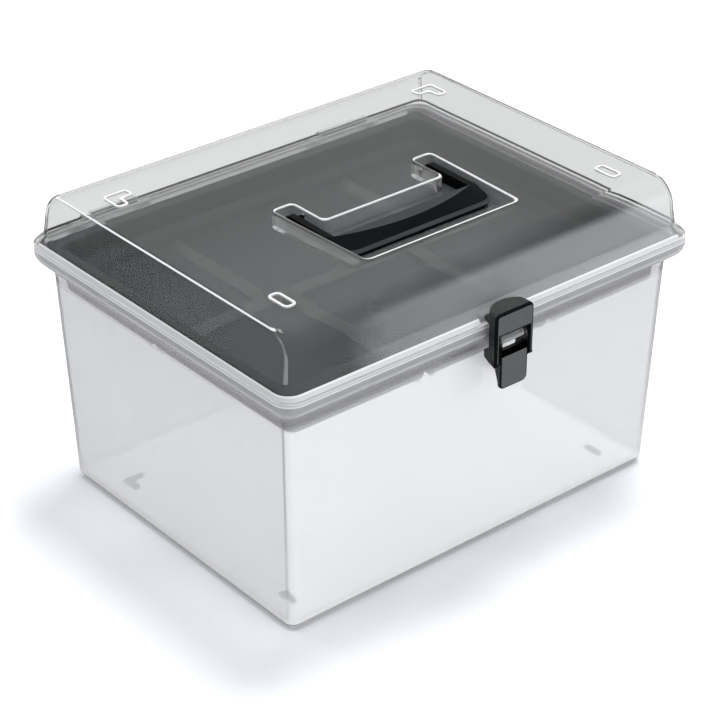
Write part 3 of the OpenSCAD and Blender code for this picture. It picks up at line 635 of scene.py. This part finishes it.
def front_outline(half, low, high, radius, round_top, round_low, steps=6):
    """An outline in X and Z with the chosen corners rounded."""
    out = []
    for cx, cz, start, on in ((half - radius, high - radius, 0, round_top),
                              (radius - half, high - radius, 90, round_top),
                              (radius - half, low + radius, 180, round_low),
                              (half - radius, low + radius, 270, round_low)):
        if on:
            out += arc((cx, cz), radius, start, start + 90, steps)
        else:
            a = math.radians(start + 45)
            out.append((math.copysign(half, math.cos(a)), high if math.sin(a) > 0 else low))
    return out


side_view = [(LATCH_FRONT_Y, LEVER_LOW_Z), (LATCH_FRONT_Y, BAR_AXIS[1] - CHEEK_R),
             *arc(BAR_AXIS, CHEEK_R, 180, 0, 18), *arc(HOOK_AXIS, CHEEK_R, 0, -70, 10),
             (PLATE_BACK_Y, 136.0), (PLATE_BACK_Y, LEVER_LOW_Z)]
lever = slab("latch_plate", side_view, -LEVER_HALF, LEVER_HALF)
front_view = front_outline(LEVER_HALF, LEVER_LOW_Z, 175.0, 3.5, False, True)
merged(lever, [slab("front", front_view, -150.0, -130.0, "XZ")], "INTERSECT")
hollow = [(-150.0, 155.5), (PLATE_BACK_Y, 155.5), (PLATE_BACK_Y, 157.9), (-142.2, 157.9),
          (-142.2, 153.1), (PLATE_BACK_Y, 153.1), (PLATE_BACK_Y, 130.0), (-130.0, 130.0),
          (-130.0, 172.0), (-150.0, 172.0)]
merged(lever, [slab("hollow", hollow, -LEVER_INNER, LEVER_INNER)], "DIFFERENCE")
merged(lever, [bar("hook_pins", HOOK_AXIS, 1.9, -15.0, 15.0)])
merged(lever, [bar("bore", BAR_AXIS, PIN_HOLE_R, -13, 13)], "DIFFERENCE")
front_bevel(lever, 1.1)
soft_edges(lever, 0.2)
print("latch_plate:", len(lever.data.polygons), "faces before its soft edges")

# %% [markdown]
# The loop has a window in front, through which the lever and the clear bar show, a hollow behind
# its top plate, and a round cut at the back of that plate, which leaves room for a fingertip.

# %% The loop
LOOP_HALF, LOOP_LOW_Z, LOOP_TOP_Z, WINDOW_HALF, WINDOW_TOP_Z = 15.7, 149.0, 185.0, 12.0, 169.1
PLATE_LOW_Z, CUT_R, CUT_Y = 181.8, 18.9, -151.3
loop = slab("latch_loop", front_outline(LOOP_HALF, LOOP_LOW_Z, LOOP_TOP_Z, 3.5, True, False),
            LATCH_FRONT_Y, -130.0, "XZ")
side_view = [(LATCH_FRONT_Y, 149.6), (-146.4, LOOP_LOW_Z), (-144.5, LOOP_LOW_Z),
             (HOOK_AXIS[0], 150.3), (-136.4, 153.1), (-136.4, 158.0), (-140.4, 160.5),
             (-140.4, 177.0), (-136.3, 179.0), (-136.3, PLATE_LOW_Z), (-130.0, PLATE_LOW_Z),
             (-130.0, LOOP_TOP_Z), (LATCH_FRONT_Y, LOOP_TOP_Z)]
merged(loop, [slab("side_view", side_view, -20.0, 20.0)], "INTERSECT")
openings = [slab("opening", [(-WINDOW_HALF, low_z), (WINDOW_HALF, low_z), (WINDOW_HALF, high_z),
                             (-WINDOW_HALF, high_z)], front_y, -128.0, "XZ")
            for low_z, high_z, front_y in ((140.0, WINDOW_TOP_Z, -150.0),
                                           (165.0, PLATE_LOW_Z, PLATE_BACK_Y))]
fingertip = arc((0.0, CUT_Y), CUT_R, 150, 30, 20)
rear_cut = slab("rear_cut", [(-20.0, -110.0), *fingertip, (20.0, -110.0)], 181.7, 186.0, "XY")
bore = bar("bore", HOOK_AXIS, PIN_HOLE_R, -15.4, 15.4)
merged(loop, [*openings, rear_cut, bore], "DIFFERENCE")
front_bevel(loop, 1.6)
soft_edges(loop, 0.25)
print("latch_loop:", len(loop.data.polygons), "faces before its soft edges")

# %% [markdown]
# ## Which body each piece rides on
# The frame knows how the lid, handle, tray and latch move. Each new piece only has to say which
# moving body it belongs to, and which frame node it stands for.

# %% Ride and replace
for piece, node, slot in ((tub, "box", "clear_plastic"), (lid, "lid", "clear_plastic"),
                          (tray, "tray", "smoke_plastic"), (handle, "carry_handle", "black_plastic"),
                          (lever, "latch_lever", "grey_plastic"), (loop, "latch_hook", "grey_plastic")):
    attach(piece, node)
    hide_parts(node)

# %% [markdown]
# ## Materials
# Shader maths reads best as plain sums, so a small class wraps a socket and turns each operator
# into a Math node. Any other node comes from one call that takes its type, settings and inputs.

# %% A socket that can be used in sums
class Wire:
    """A node's output; sums of wires and numbers add Math nodes."""

    def __init__(self, tree, socket):
        self.tree, self.socket = tree, socket

    def maths(self, operation, first, second):
        return add_node(self.tree, "ShaderNodeMath", {"operation": operation}, {0: first, 1: second})

    def __add__(self, other):
        return self.maths("ADD", self, other)

    __radd__ = __add__

    def __sub__(self, other):
        return self.maths("SUBTRACT", self, other)

    def __rsub__(self, other):
        return self.maths("SUBTRACT", other, self)

    def __mul__(self, other):
        return self.maths("MULTIPLY", self, other)

    __rmul__ = __mul__

    def __pow__(self, other):
        return self.maths("POWER", self, other)

    def at_least(self, low):
        return self.maths("MAXIMUM", self, low)

    def at_most(self, high):
        return self.maths("MINIMUM", self, high)


# %% Nodes, materials and who wears them
def add_node(tree, kind, settings=None, inputs=None, out=0):
    """Adds a node, sets it first and then fills its sockets with values or wires."""
    node = tree.nodes.new(kind)
    for name, value in (settings or {}).items():
        if name == "stops":
            for element, (place, colour) in zip(node.color_ramp.elements, value):
                element.position, element.color = place, colour
        else:
            setattr(node, name, value)
    for name, value in (inputs or {}).items():
        if isinstance(value, Wire):
            tree.links.new(value.socket, node.inputs[name])
        else:
            node.inputs[name].default_value = value
    return Wire(tree, node.outputs[out])


def axes_of(tree, vector):
    """The three parts of a vector as wires."""
    split = tree.nodes.new("ShaderNodeSeparateXYZ")
    tree.links.new(vector.socket, split.inputs[0])
    return [Wire(tree, split.outputs[axis]) for axis in "XYZ"]


def new_material(name):
    """An empty material with its output node; returns the material, its tree and the output."""
    material = bpy.data.materials.new(name)
    material.use_nodes = True
    material.node_tree.nodes.clear()
    return material, material.node_tree, material.node_tree.nodes.new("ShaderNodeOutputMaterial")


def dress(piece, material):
    """The piece wears this one material."""
    piece.data.materials.clear()
    piece.data.materials.append(material)


def edged(piece, plastic, belongs):
    """Gives the faces that pass the test, by their centre in mm and normal, a further plastic."""
    piece.data.materials.append(plastic)
    slot, count = len(piece.data.materials) - 1, 0
    for face in piece.data.polygons:
        if belongs(Vector(face.center) / MM, face.normal):
            face.material_index = slot
            count += 1
    return count


# %% [markdown]
# ### Clear and smoky plastic
# Clear plastic is a solid that light passes through and bends in, so it is transmission with a
# faint absorption that only shows where light travels along a wall. Real styrene bends light more
# than the 1.12 used here, which was chosen to keep inner reflections few, as the photograph shows
# the box pale. Handling leaves very fine scratches and dull spots, which a little noise gives to
# the roughness and to a very shallow bump. Shadow rays can't bend, and a surface that refracts
# would stop them, so they meet a plain transparent one instead.
#
# Two stretches get a pale haze without being less clear: the box's walls below the tray look milky, and
# the lid's front curve gets a painted sheen, a haze that stands in for a broad reflection of the light.
# A function of the place says how much of a pale haze lies there, and a Mix Shader adds it, so what is
# behind stays sharp.

# %% How clear plastic is made
def painted_front_sheen(x, y, z):
    """A painted sheen standing in for a broad reflection: a faint pale haze below the middle of the
    lid's front curve, growing towards the right end.
    """
    front = ((-0.1215 - y) * 300.0).at_least(0.0).at_most(1.0)
    side = ((x + 0.115) * 18.0).at_most(x * 2.6 + 0.75).at_least(0.0)
    return front * side * 0.16


def wall_haze(x, y, z):
    """A haze in the box's walls, up to where the tray's lower edge is seen through them."""
    return ((0.1505 - z) * 220.0).at_least(0.0).at_most(1.0) * 0.27


def grey(level, blue=None):
    """A colour of one level, with its own blue where that is given."""
    return (level, level, level if blue is None else blue, 1.0)


def see_through(name, colour, turned, clear, gloss, coat, shadow, density=50.0,
                absorbed=grey(0.5, 0.53), bend=1.12, haze_and_sheen=None):
    """A plastic that light passes through. It is greyer where the eye meets it edge on, partly as real
    absorption along the longer way through it and partly as painted shade for the dark lines that
    refraction draws along its outlines; gloss is its roughness, how uneven that is, and the coat's.
    Where a haze function is given, it says how much of a pale haze lies over each place: real milkiness
    in the box's walls, a painted sheen on the lid's front curve."""
    roughness, uneven, coat_roughness = gloss
    material, tree, output = new_material(name)
    place = add_node(tree, "ShaderNodeTexCoord", out="Object")
    smudge = add_node(tree, "ShaderNodeTexNoise", {"noise_dimensions": "3D"},
                      {"Vector": place, "Scale": 26.0, "Detail": 3.0, "Roughness": 0.55}, out="Fac")
    fine = add_node(tree, "ShaderNodeTexNoise", {"noise_dimensions": "3D"},
                    {"Vector": place, "Scale": 420.0, "Detail": 2.0, "Roughness": 0.6}, out="Fac")
    tilt = add_node(tree, "ShaderNodeBump", None,
                    {"Height": fine * 0.5 + smudge, "Strength": 0.004, "Distance": 0.0004},
                    out="Normal")
    # Partly painted shade: the greying edge on also draws the dark lines along outlines.
    facing = add_node(tree, "ShaderNodeLayerWeight", None, {"Blend": 0.5}, out="Facing")
    tint = add_node(tree, "ShaderNodeMix", {"data_type": "RGBA"},
                    {0: facing ** 5.0, 6: colour, 7: turned}, out=2)
    surface = add_node(tree, "ShaderNodeBsdfPrincipled", None,
                       {"Base Color": tint, "Roughness": (smudge - 0.5) * uneven + roughness,
                        "Normal": tilt, "IOR": bend, "Transmission Weight": clear,
                        "Coat Weight": coat, "Coat IOR": 1.5, "Coat Roughness": coat_roughness})
    if haze_and_sheen:
        pale = add_node(tree, "ShaderNodeBsdfDiffuse", None, {"Color": (0.88, 0.89, 0.9, 1)})
        surface = add_node(tree, "ShaderNodeMixShader", None,
                           {0: haze_and_sheen(*axes_of(tree, place)), 1: surface, 2: pale})
    let_by = add_node(tree, "ShaderNodeBsdfTransparent", None, {"Color": shadow})
    shadow_ray = add_node(tree, "ShaderNodeLightPath", out="Is Shadow Ray")
    both = add_node(tree, "ShaderNodeMixShader", None, {0: shadow_ray, 1: surface, 2: let_by})
    inside = add_node(tree, "ShaderNodeVolumeAbsorption", None,
                      {"Color": absorbed, "Density": density})
    tree.links.new(both.socket, output.inputs["Surface"])
    tree.links.new(inside.socket, output.inputs["Volume"])
    return material


# %% [markdown]
# The box, the lid and the tray each have a plastic of their own, though the real box and lid may
# be the same one: the box's walls are frosted a little, and the lid is polished.

# %% The three main plastics
milky_plastic = see_through(
    "clear plastic of the box", grey(0.98, 0.985), grey(0.2, 0.23), clear=0.88,
    gloss=(0.04, 0.03, 0.03), coat=0.6, shadow=grey(0.87, 0.88), density=15.0, haze_and_sheen=wall_haze)
# Its haze function paints a sheen on the lid's front curve, in place of a reflection.
clear_plastic = see_through(
    "clear plastic of the lid", (0.93, 0.935, 0.935, 1), (0.42, 0.43, 0.43, 1), clear=0.985,
    gloss=(0.04, 0.03, 0.5), coat=0.1, shadow=grey(0.9), density=60.0,
    absorbed=(0.5, 0.51, 0.51, 1), haze_and_sheen=painted_front_sheen)
smoke_plastic = see_through(
    "smoky plastic of the tray", (0.086, 0.096, 0.099, 1), (0.08, 0.09, 0.09, 1), clear=0.8,
    gloss=(0.2, 0.06, 0.1), coat=0.0, shadow=grey(0.85), density=400.0,
    absorbed=(0.3, 0.32, 0.33, 1))
for piece, plastic in ((tub, milky_plastic), (lid, clear_plastic), (tray, smoke_plastic)):
    dress(piece, plastic)
    print(piece.name, "wears", plastic.name)

# %% [markdown]
# A moulding doesn't look the same all over, and here much of that is painted light and shade. A whiter
# plastic paints bright highlight lines along edges, the shoulder's bead and the rings, and a dark one
# paints dark lines along the box's outline and on its feet. Bands of the rim are milky. The end walls
# and the flare under the rim are greyer, as painted shade, and the slopes of the tray's folds are
# lighter, as painted light. The recess scatters more than the rest of the lid, and the box's floor
# wears the same plastic. Each of these has its own variant of the plastic, which is given to groups of
# faces below. The far shoulder is seen from inside at a flat angle. The plastic on those faces hardly
# bends light, which is meant to keep them pale.

# %% Variants of the plastics for edges, bands and ends
# Painted shade: the box's end walls are greyer than its front and back.
shaded_end_plastic = see_through(
    "clear plastic of the box's ends, greyed as painted shade", (0.92, 0.915, 0.93, 1), grey(0.2, 0.23), clear=0.84,
    gloss=(0.04, 0.03, 0.03), coat=0.6, shadow=grey(0.87, 0.88), density=40.0, haze_and_sheen=wall_haze)
# Painted shade: the flare under the rim is greyer and duller than the walls.
shaded_flare_plastic = see_through(
    "clear plastic under the rim, greyed as painted shade", (0.75, 0.755, 0.765, 1), grey(0.3, 0.32), clear=0.62,
    gloss=(0.06, 0.03, 0.03), coat=0.0, shadow=grey(0.87, 0.88))
recess_plastic = see_through(
    "clear plastic round the handle", (0.95, 0.955, 0.955, 1), grey(0.6), clear=0.88,
    gloss=(0.06, 0.03, 0.03), coat=0.3, shadow=grey(0.9))
slope_plastic = see_through(
    "clear plastic of the far shoulder", (0.95, 0.955, 0.955, 1), grey(0.9), clear=0.88,
    gloss=(0.06, 0.04, 0.05), coat=0.1, shadow=grey(0.88), density=15.0, bend=1.01)
# Painted light: the slopes of the folds are lighter than the tray's floor.
painted_light_smoke = see_through(
    "smoky plastic on the folds, lightened as painted light", (0.24, 0.255, 0.258, 1), (0.2, 0.21, 0.21, 1), clear=0.6,
    gloss=(0.2, 0.06, 0.1), coat=0.0, shadow=grey(0.85), density=400.0,
    absorbed=(0.3, 0.32, 0.33, 1))
# Painted highlight: a whiter plastic for the bright lines on edges, the bead and the rings.
painted_highlight_edge = see_through(
    "painted highlight lines of the clear plastic", grey(0.98, 0.985), grey(0.9), clear=0.3,
    gloss=(0.05, 0.03, 0.05), coat=1.0, shadow=grey(0.85, 0.86))
band_plastic = see_through(
    "milky bands of the rim and shoulder", (0.9, 0.905, 0.91, 1), grey(0.7), clear=0.45,
    gloss=(0.08, 0.05, 0.05), coat=0.5, shadow=grey(0.85, 0.86))
# Painted shade: a dark plastic for the dark lines along the box's outline and on its feet.
painted_dark_edge = see_through(
    "painted dark edge lines of the clear plastic", grey(0.14, 0.165), grey(0.1, 0.12), clear=0.2,
    gloss=(0.05, 0.03, 0.05), coat=0.2, shadow=grey(0.8))
print("plastics:", len(bpy.data.materials))

# %% [markdown]
# A test takes a face's centre c, in millimetres, and its normal n, and says whether the face
# belongs to a group. The heights above give most of the limits.

# %% Groups of faces on the lid
def on_lid_edge(c, n):
    """The dome's end edges, the recess's top edge, the stacking rings and the shoulder's bead."""
    end_edge = abs(c.x) > 155.0 and TOP_Z - 1.5 < c.z < TOP_Z - 0.5 and abs(c.y) < 112.0
    recess = abs(c.x) < 67.5 and TOP_Z - 1.1 < c.z < TOP_Z - 0.02 and -82.2 < c.y < 9.0
    bead = abs(c.z - BEAD_Z) < 0.3 and n.z > 0.3
    return end_edge or recess or bead or c.z > TOP_Z + 0.1


def on_end_curve(c, n):
    """The bend between the dome's front or back curve and its ends."""
    return abs(c.x) > 156.0 and 0.6 < abs(n.x) < 0.78 and DOME_Z < c.z <= TOP_Z - 1.5


def on_shoulder(c, n):
    """The lower half of the lid's shoulder and its upright edge."""
    return LID_Z + 0.2 < c.z < BEAD_Z - 0.4


def on_far_shoulder(c, n):
    """The shoulder's upper slope at the back and on the right, which is seen from inside."""
    return BEAD_Z - 1.2 < c.z < DOME_Z + 2.2 and (c.y > 115.0 or c.x > 148.0)


def in_recess(c, n):
    """The upright walls of the handle's recess."""
    return (abs(n.z) < 0.5 and abs(c.x) < 69.0 and RECESS_Z - 1.8 < c.z < TOP_Z - 1.1
            and -82.0 < c.y < 10.0)


# %% Groups of faces on the box and the tray
def on_box_line(c, n):
    """The rim's rounded top and the line half way down its upright band."""
    on_line = RIM_LINE[0] + 0.1 < c.z < RIM_LINE[1] - 0.1 and abs(n.z) < 0.1
    return c.z > RIM_Z - 0.6 or on_line


def on_box_band(c, n):
    """The rim's upright band above the line."""
    return RIM_LINE[1] + 0.1 < c.z < RIM_Z - 0.6


def on_flare(c, n):
    """The flare between the wall and the rim's upright band."""
    return (WALL_TOP_Z - 0.5 < c.z < RIM_LINE[0] - 0.1 and n.z < 0.15
            and abs(n.x) + abs(n.y) > 0.3)


def on_end(c, n):
    """The flat end walls of the box."""
    return abs(n.x) > 0.97 and UNDERSIDE_Z + 2.0 < c.z < WALL_TOP_Z and abs(c.x) > 140.0


def on_box_floor(c, n):
    """The floor of the box, above and below."""
    return abs(n.z) > 0.95 and UNDERSIDE_Z - 0.1 < c.z < FLOOR_Z + 0.1


def on_painted_dark_edge(c, n):
    """The feet, the rounded bottom edge at the front and the left, and the upright corners at the back
    left and the front right, which draw the box's outline in painted dark lines."""
    foot = c.z < UNDERSIDE_Z - 0.05
    bottom = (UNDERSIDE_Z < c.z < UNDERSIDE_Z + 2.0 and -0.95 < n.z < -0.15
              and max(n.x, n.y) < 0.1)
    corner = (n.x * n.y < -0.3 and UNDERSIDE_Z < c.z < WALL_TOP_Z
              and min(abs(n.x), abs(n.y)) > 0.5)
    return foot or bottom or corner


def on_fold(c, n):
    """The slopes of the folds in the tray's floor, seen from above, which wear a lighter smoke as
    painted light.
    """
    return (TRAY_Z + 2.2 < c.z < TRAY_Z + 9.0 and 0.2 < n.z < 0.95 and abs(c.x) < 149.0
            and abs(c.y) < 115.0)


# %% Give the groups their plastics
# Painted light and shade by group: highlight lines on edges and rim lines, dark lines along the
# outline, shade on the end walls and the flare, light on the fold slopes. The lid's end bends wear the
# box's milky plastic, which makes them paler.
for piece, plastic, belongs in (
        (lid, painted_highlight_edge, on_lid_edge), (tub, painted_highlight_edge, on_box_line),
        (lid, band_plastic, on_shoulder), (tub, band_plastic, on_box_band),
        (tub, shaded_flare_plastic, on_flare), (tub, shaded_end_plastic, on_end),
        (tub, recess_plastic, on_box_floor), (lid, milky_plastic, on_end_curve),
        (lid, slope_plastic, on_far_shoulder), (lid, recess_plastic, in_recess),
        (tray, painted_light_smoke, on_fold), (tub, painted_dark_edge, on_painted_dark_edge)):
    print(piece.name, "has", edged(piece, plastic, belongs), "faces of", plastic.name)

# %% [markdown]
# ### Black and grey plastic
# The handle is polished black and the latch a satin dark grey. Both are plain dyed plastic, with a
# faint grain, whose gloss is slightly duller where fingers touch and whose tone differs a little at
# random. The grip's rear and front facets wear a lighter satin black, as painted light. On the latch
# only the front faces are satin grey. Its sides are polished and darker, as painted shade, and the
# bevel round the front, which shows as a black line, wears the handle's black as a painted dark
# reflection.

# %% How dyed plastic is made
def dyed(name, colour, bend, roughness, uneven, grain, bump):
    """An opaque dyed plastic with a faint grain and an uneven gloss."""
    material, tree, output = new_material(name)
    place = add_node(tree, "ShaderNodeTexCoord", out="Object")
    smudge = add_node(tree, "ShaderNodeTexNoise", None,
                      {"Vector": place, "Scale": 70.0, "Detail": 3.0, "Roughness": 0.6}, out="Fac")
    fine = add_node(tree, "ShaderNodeTexNoise", None,
                    {"Vector": place, "Scale": grain, "Detail": 2.0, "Roughness": 0.6}, out="Fac")
    lighter = tuple(part * 1.15 for part in colour)
    colouring = add_node(tree, "ShaderNodeMix", {"data_type": "RGBA"},
                         {0: smudge, 6: (*colour, 1), 7: (*lighter, 1)}, out=2)
    tilt = add_node(tree, "ShaderNodeBump", None,
                    {"Height": fine, "Strength": bump, "Distance": 0.0002}, out="Normal")
    surface = add_node(tree, "ShaderNodeBsdfPrincipled", None,
                       {"Base Color": colouring, "Roughness": (smudge - 0.5) * uneven + roughness,
                        "Normal": tilt, "IOR": bend, "Coat Weight": 0.0, "Coat Roughness": 0.04})
    tree.links.new(surface.socket, output.inputs["Surface"])
    return material


black_plastic = dyed("polished black plastic", (0.004, 0.0045, 0.005), bend=1.07,
                     roughness=0.1, uneven=0.06, grain=900.0, bump=0.03)
# Painted light: a lighter black for the grip's rear and front facets.
painted_lit_black_plastic = dyed("satin black plastic, lightened as painted light", (0.042, 0.045, 0.047), bend=1.01,
                    roughness=0.3, uneven=0.1, grain=900.0, bump=0.03)
grey_plastic = dyed("satin grey plastic", (0.06, 0.068, 0.067), bend=1.4,
                    roughness=0.34, uneven=0.12, grain=1400.0, bump=0.08)
# Painted shade: a darker copy of the latch's grey for its sides.
shaded_latch_sides = dyed("polished sides of the latch, darkened as painted shade", (0.012, 0.014, 0.014), bend=1.35,
                  roughness=0.15, uneven=0.06, grain=1400.0, bump=0.04)
print("plastics:", len(bpy.data.materials))


# %% Dress the handle and the latch
def on_rear_facet(c, n):
    """The grip's rear facet, which lies towards the light and wears a lighter black as painted light.
    """
    return n.z > 0.8 and n.y > 0.12 and c.y < GRIP_REAR_Y


def on_front_facet(c, n):
    """The grip's narrow front facet, which wears a lighter black as painted light."""
    return -0.9 < n.y < -0.55 and c.y < -56.0


def on_latch_front(c, n):
    """The latch's front faces."""
    return n.y < -0.975


dress(handle, black_plastic)
# The grip's facets get the lighter black as painted light.
for belongs in (on_rear_facet, on_front_facet):
    print(handle.name, "has", edged(handle, painted_lit_black_plastic, belongs), "satin faces lightened as painted light")
# The latch's sides wear the darker copy as painted shade, and its front bevel wears the black as a
# painted dark reflection line.
for piece in (lever, loop):
    dress(piece, shaded_latch_sides)
    print(piece.name, "has", edged(piece, grey_plastic, on_latch_front), "front faces")
    piece.data.materials.append(black_plastic)
    piece.modifiers["front bevel"].material = len(piece.data.materials) - 1

# %% [markdown]
# ## Floor, light and camera
# The photograph is a plain product shot on white. The floor is a large pale sheet that keeps the
# box's soft shadow. It answers each kind of ray in its own way, which Light Path tells apart. The
# eye sees the lit sheet near the box and plain white further off, so no horizon shows in a low
# view. Rays that pass through or glance off the plastic see plain white, or the box's own shadow
# would darken the lid. All others, which only carry light around, meet a slightly greyer sheet.

# %% Floor
FLOOR_HALF, BELOW, FADE_FROM, FADE_RATE = 8.0, 0.0002, 0.55, 1.6
bm = bmesh.new()
bmesh.ops.create_grid(bm, x_segments=1, y_segments=1, size=FLOOR_HALF,
                      matrix=Matrix.Translation((0, 0, -BELOW)))
floor = finished(bm, "floor")
material, tree, output = new_material("white paper floor")
plain = add_node(tree, "ShaderNodeBsdfDiffuse", None, {"Color": (0.86, 0.87, 0.89, 1)})
near_by = add_node(tree, "ShaderNodeBsdfDiffuse", None, {"Color": (0.93, 0.94, 0.965, 1)})
white = add_node(tree, "ShaderNodeEmission", None, {"Color": grey(1.0), "Strength": 1.0})
place = add_node(tree, "ShaderNodeTexCoord", out="Object")
apart = add_node(tree, "ShaderNodeVectorMath", {"operation": "LENGTH"}, {0: place}, out="Value")
far_share = ((apart - FADE_FROM) * FADE_RATE).at_least(0.0).at_most(1.0)
seen = add_node(tree, "ShaderNodeMixShader", None, {0: far_share, 1: near_by, 2: white})
mixed = plain
for kind, other in (("Is Glossy Ray", white), ("Is Transmission Ray", white),
                    ("Is Camera Ray", seen)):
    of_kind = add_node(tree, "ShaderNodeLightPath", out=kind)
    mixed = add_node(tree, "ShaderNodeMixShader", None, {0: of_kind, 1: mixed, 2: other})
tree.links.new(mixed.socket, output.inputs["Surface"])
dress(floor, material)
print("floor:", 2 * FLOOR_HALF, "m wide")

# %% [markdown]
# The world is plain white where it is seen, directly or in and through the plastic, and a little
# dimmer and cooler as a light, so the lamps can still draw soft shadows.

# %% World
world = bpy.data.worlds.new("white studio")
bpy.context.scene.world = world
world.use_nodes = True
tree = world.node_tree
tree.nodes.clear()
output = tree.nodes.new("ShaderNodeOutputWorld")
height = axes_of(tree, add_node(tree, "ShaderNodeTexCoord", out="Generated"))[2]
sky = add_node(tree, "ShaderNodeValToRGB", {"stops": [
    (0.0, (0.9, 0.92, 0.96, 1)), (1.0, (1.0, 1.01, 1.03, 1))]}, {"Fac": height})
studio = add_node(tree, "ShaderNodeBackground", None, {"Color": sky, "Strength": 0.62})
white = add_node(tree, "ShaderNodeBackground", None, {"Color": grey(1.0), "Strength": 1.0})
seen = add_node(tree, "ShaderNodeLightPath", out="Is Camera Ray")
for kind in ("Is Glossy Ray", "Is Transmission Ray"):
    seen = seen.at_least(add_node(tree, "ShaderNodeLightPath", out=kind))
mixed = add_node(tree, "ShaderNodeMixShader", None, {0: seen, 1: studio, 2: white})
tree.links.new(mixed.socket, output.inputs["Surface"])
print("world:", world.name)

# %% [markdown]
# Three square lamps light the box. The key hangs high on the right and throws the soft shadow to
# the front left. A wide, weak fill in front lifts the front wall; it is left out of reflections,
# which could show its square outline. A small one behind draws the rear edges. None of the three
# can be seen through the plastic.

# %% Lamps
def soft_lamp(name, place, aim, size, power, shines=True):
    """A square lamp at a place, turned towards a point; reflections show it if it shines."""
    data = bpy.data.lights.new(name, "AREA")
    data.shape, data.size, data.energy = "SQUARE", size, power
    lamp = bpy.data.objects.new(name, data)
    lamp.location = place
    lamp.visible_glossy, lamp.visible_transmission = shines, False
    lamp.rotation_mode = "QUATERNION"
    lamp.rotation_quaternion = (Vector(aim) - Vector(place)).to_track_quat("-Z", "Y")
    bpy.context.scene.collection.objects.link(lamp)
    print("lamp:", name, power, "W")


soft_lamp("key", (0.9, 0.42, 3.2), (0, 0, 0.1), 1.1, 88.0)
soft_lamp("front fill", (0.9, -3.3, 1.2), (0, 0, 0.1), 3.0, 38.0, shines=False)
soft_lamp("edge light", (-0.9, 2.0, 1.9), (0, 0, 0.18), 0.9, 12.0)

# %% [markdown]
# The camera looks down on the near left corner. Its place, turn and focal length were fitted to
# the box's edges in the photograph. The focal length came out in picture widths of 720 pixels, and
# the lens follows from it and the sensor.

# %% Camera
YAW, PITCH, ROLL = math.radians(39.717), math.radians(30.272), math.radians(-0.182)
FOCAL_PIXELS, PICTURE_PIXELS, SENSOR = 2368.772, 720, 36.0
camera = bpy.data.objects.new("camera", bpy.data.cameras.new("camera"))
bpy.context.scene.collection.objects.link(camera)
forward = Vector((math.sin(YAW) * math.cos(PITCH), math.cos(YAW) * math.cos(PITCH), -math.sin(PITCH)))
level = Vector((math.cos(YAW), -math.sin(YAW), 0))
upright = level.cross(forward)
right = math.cos(ROLL) * level + math.sin(ROLL) * upright
upward = math.cos(ROLL) * upright - math.sin(ROLL) * level
camera.rotation_mode = "QUATERNION"
camera.rotation_quaternion = Matrix((right, upward, -forward)).transposed().to_quaternion()
camera.location = (-0.872541, -1.049559, 0.880254)
camera.data.sensor_width = SENSOR
camera.data.lens = SENSOR * FOCAL_PIXELS / PICTURE_PIXELS
camera.data.clip_start, camera.data.clip_end = 0.05, 20.0
bpy.context.scene.camera = camera
print("camera at", [round(v, 3) for v in camera.location], "lens", round(camera.data.lens, 1))

# %% [markdown]
# Light crosses many thin walls here, two for each side of the box, the lid and the tray. With too
# few bounces such rays would end black, so more are allowed than usual.

# %% Look settings
BOUNCES = 32
scene = bpy.context.scene
scene.view_settings.view_transform = "Standard"
scene.cycles.max_bounces = BOUNCES
scene.cycles.transmission_bounces = BOUNCES
scene.cycles.transparent_max_bounces = BOUNCES
print("view transform:", scene.view_settings.view_transform)
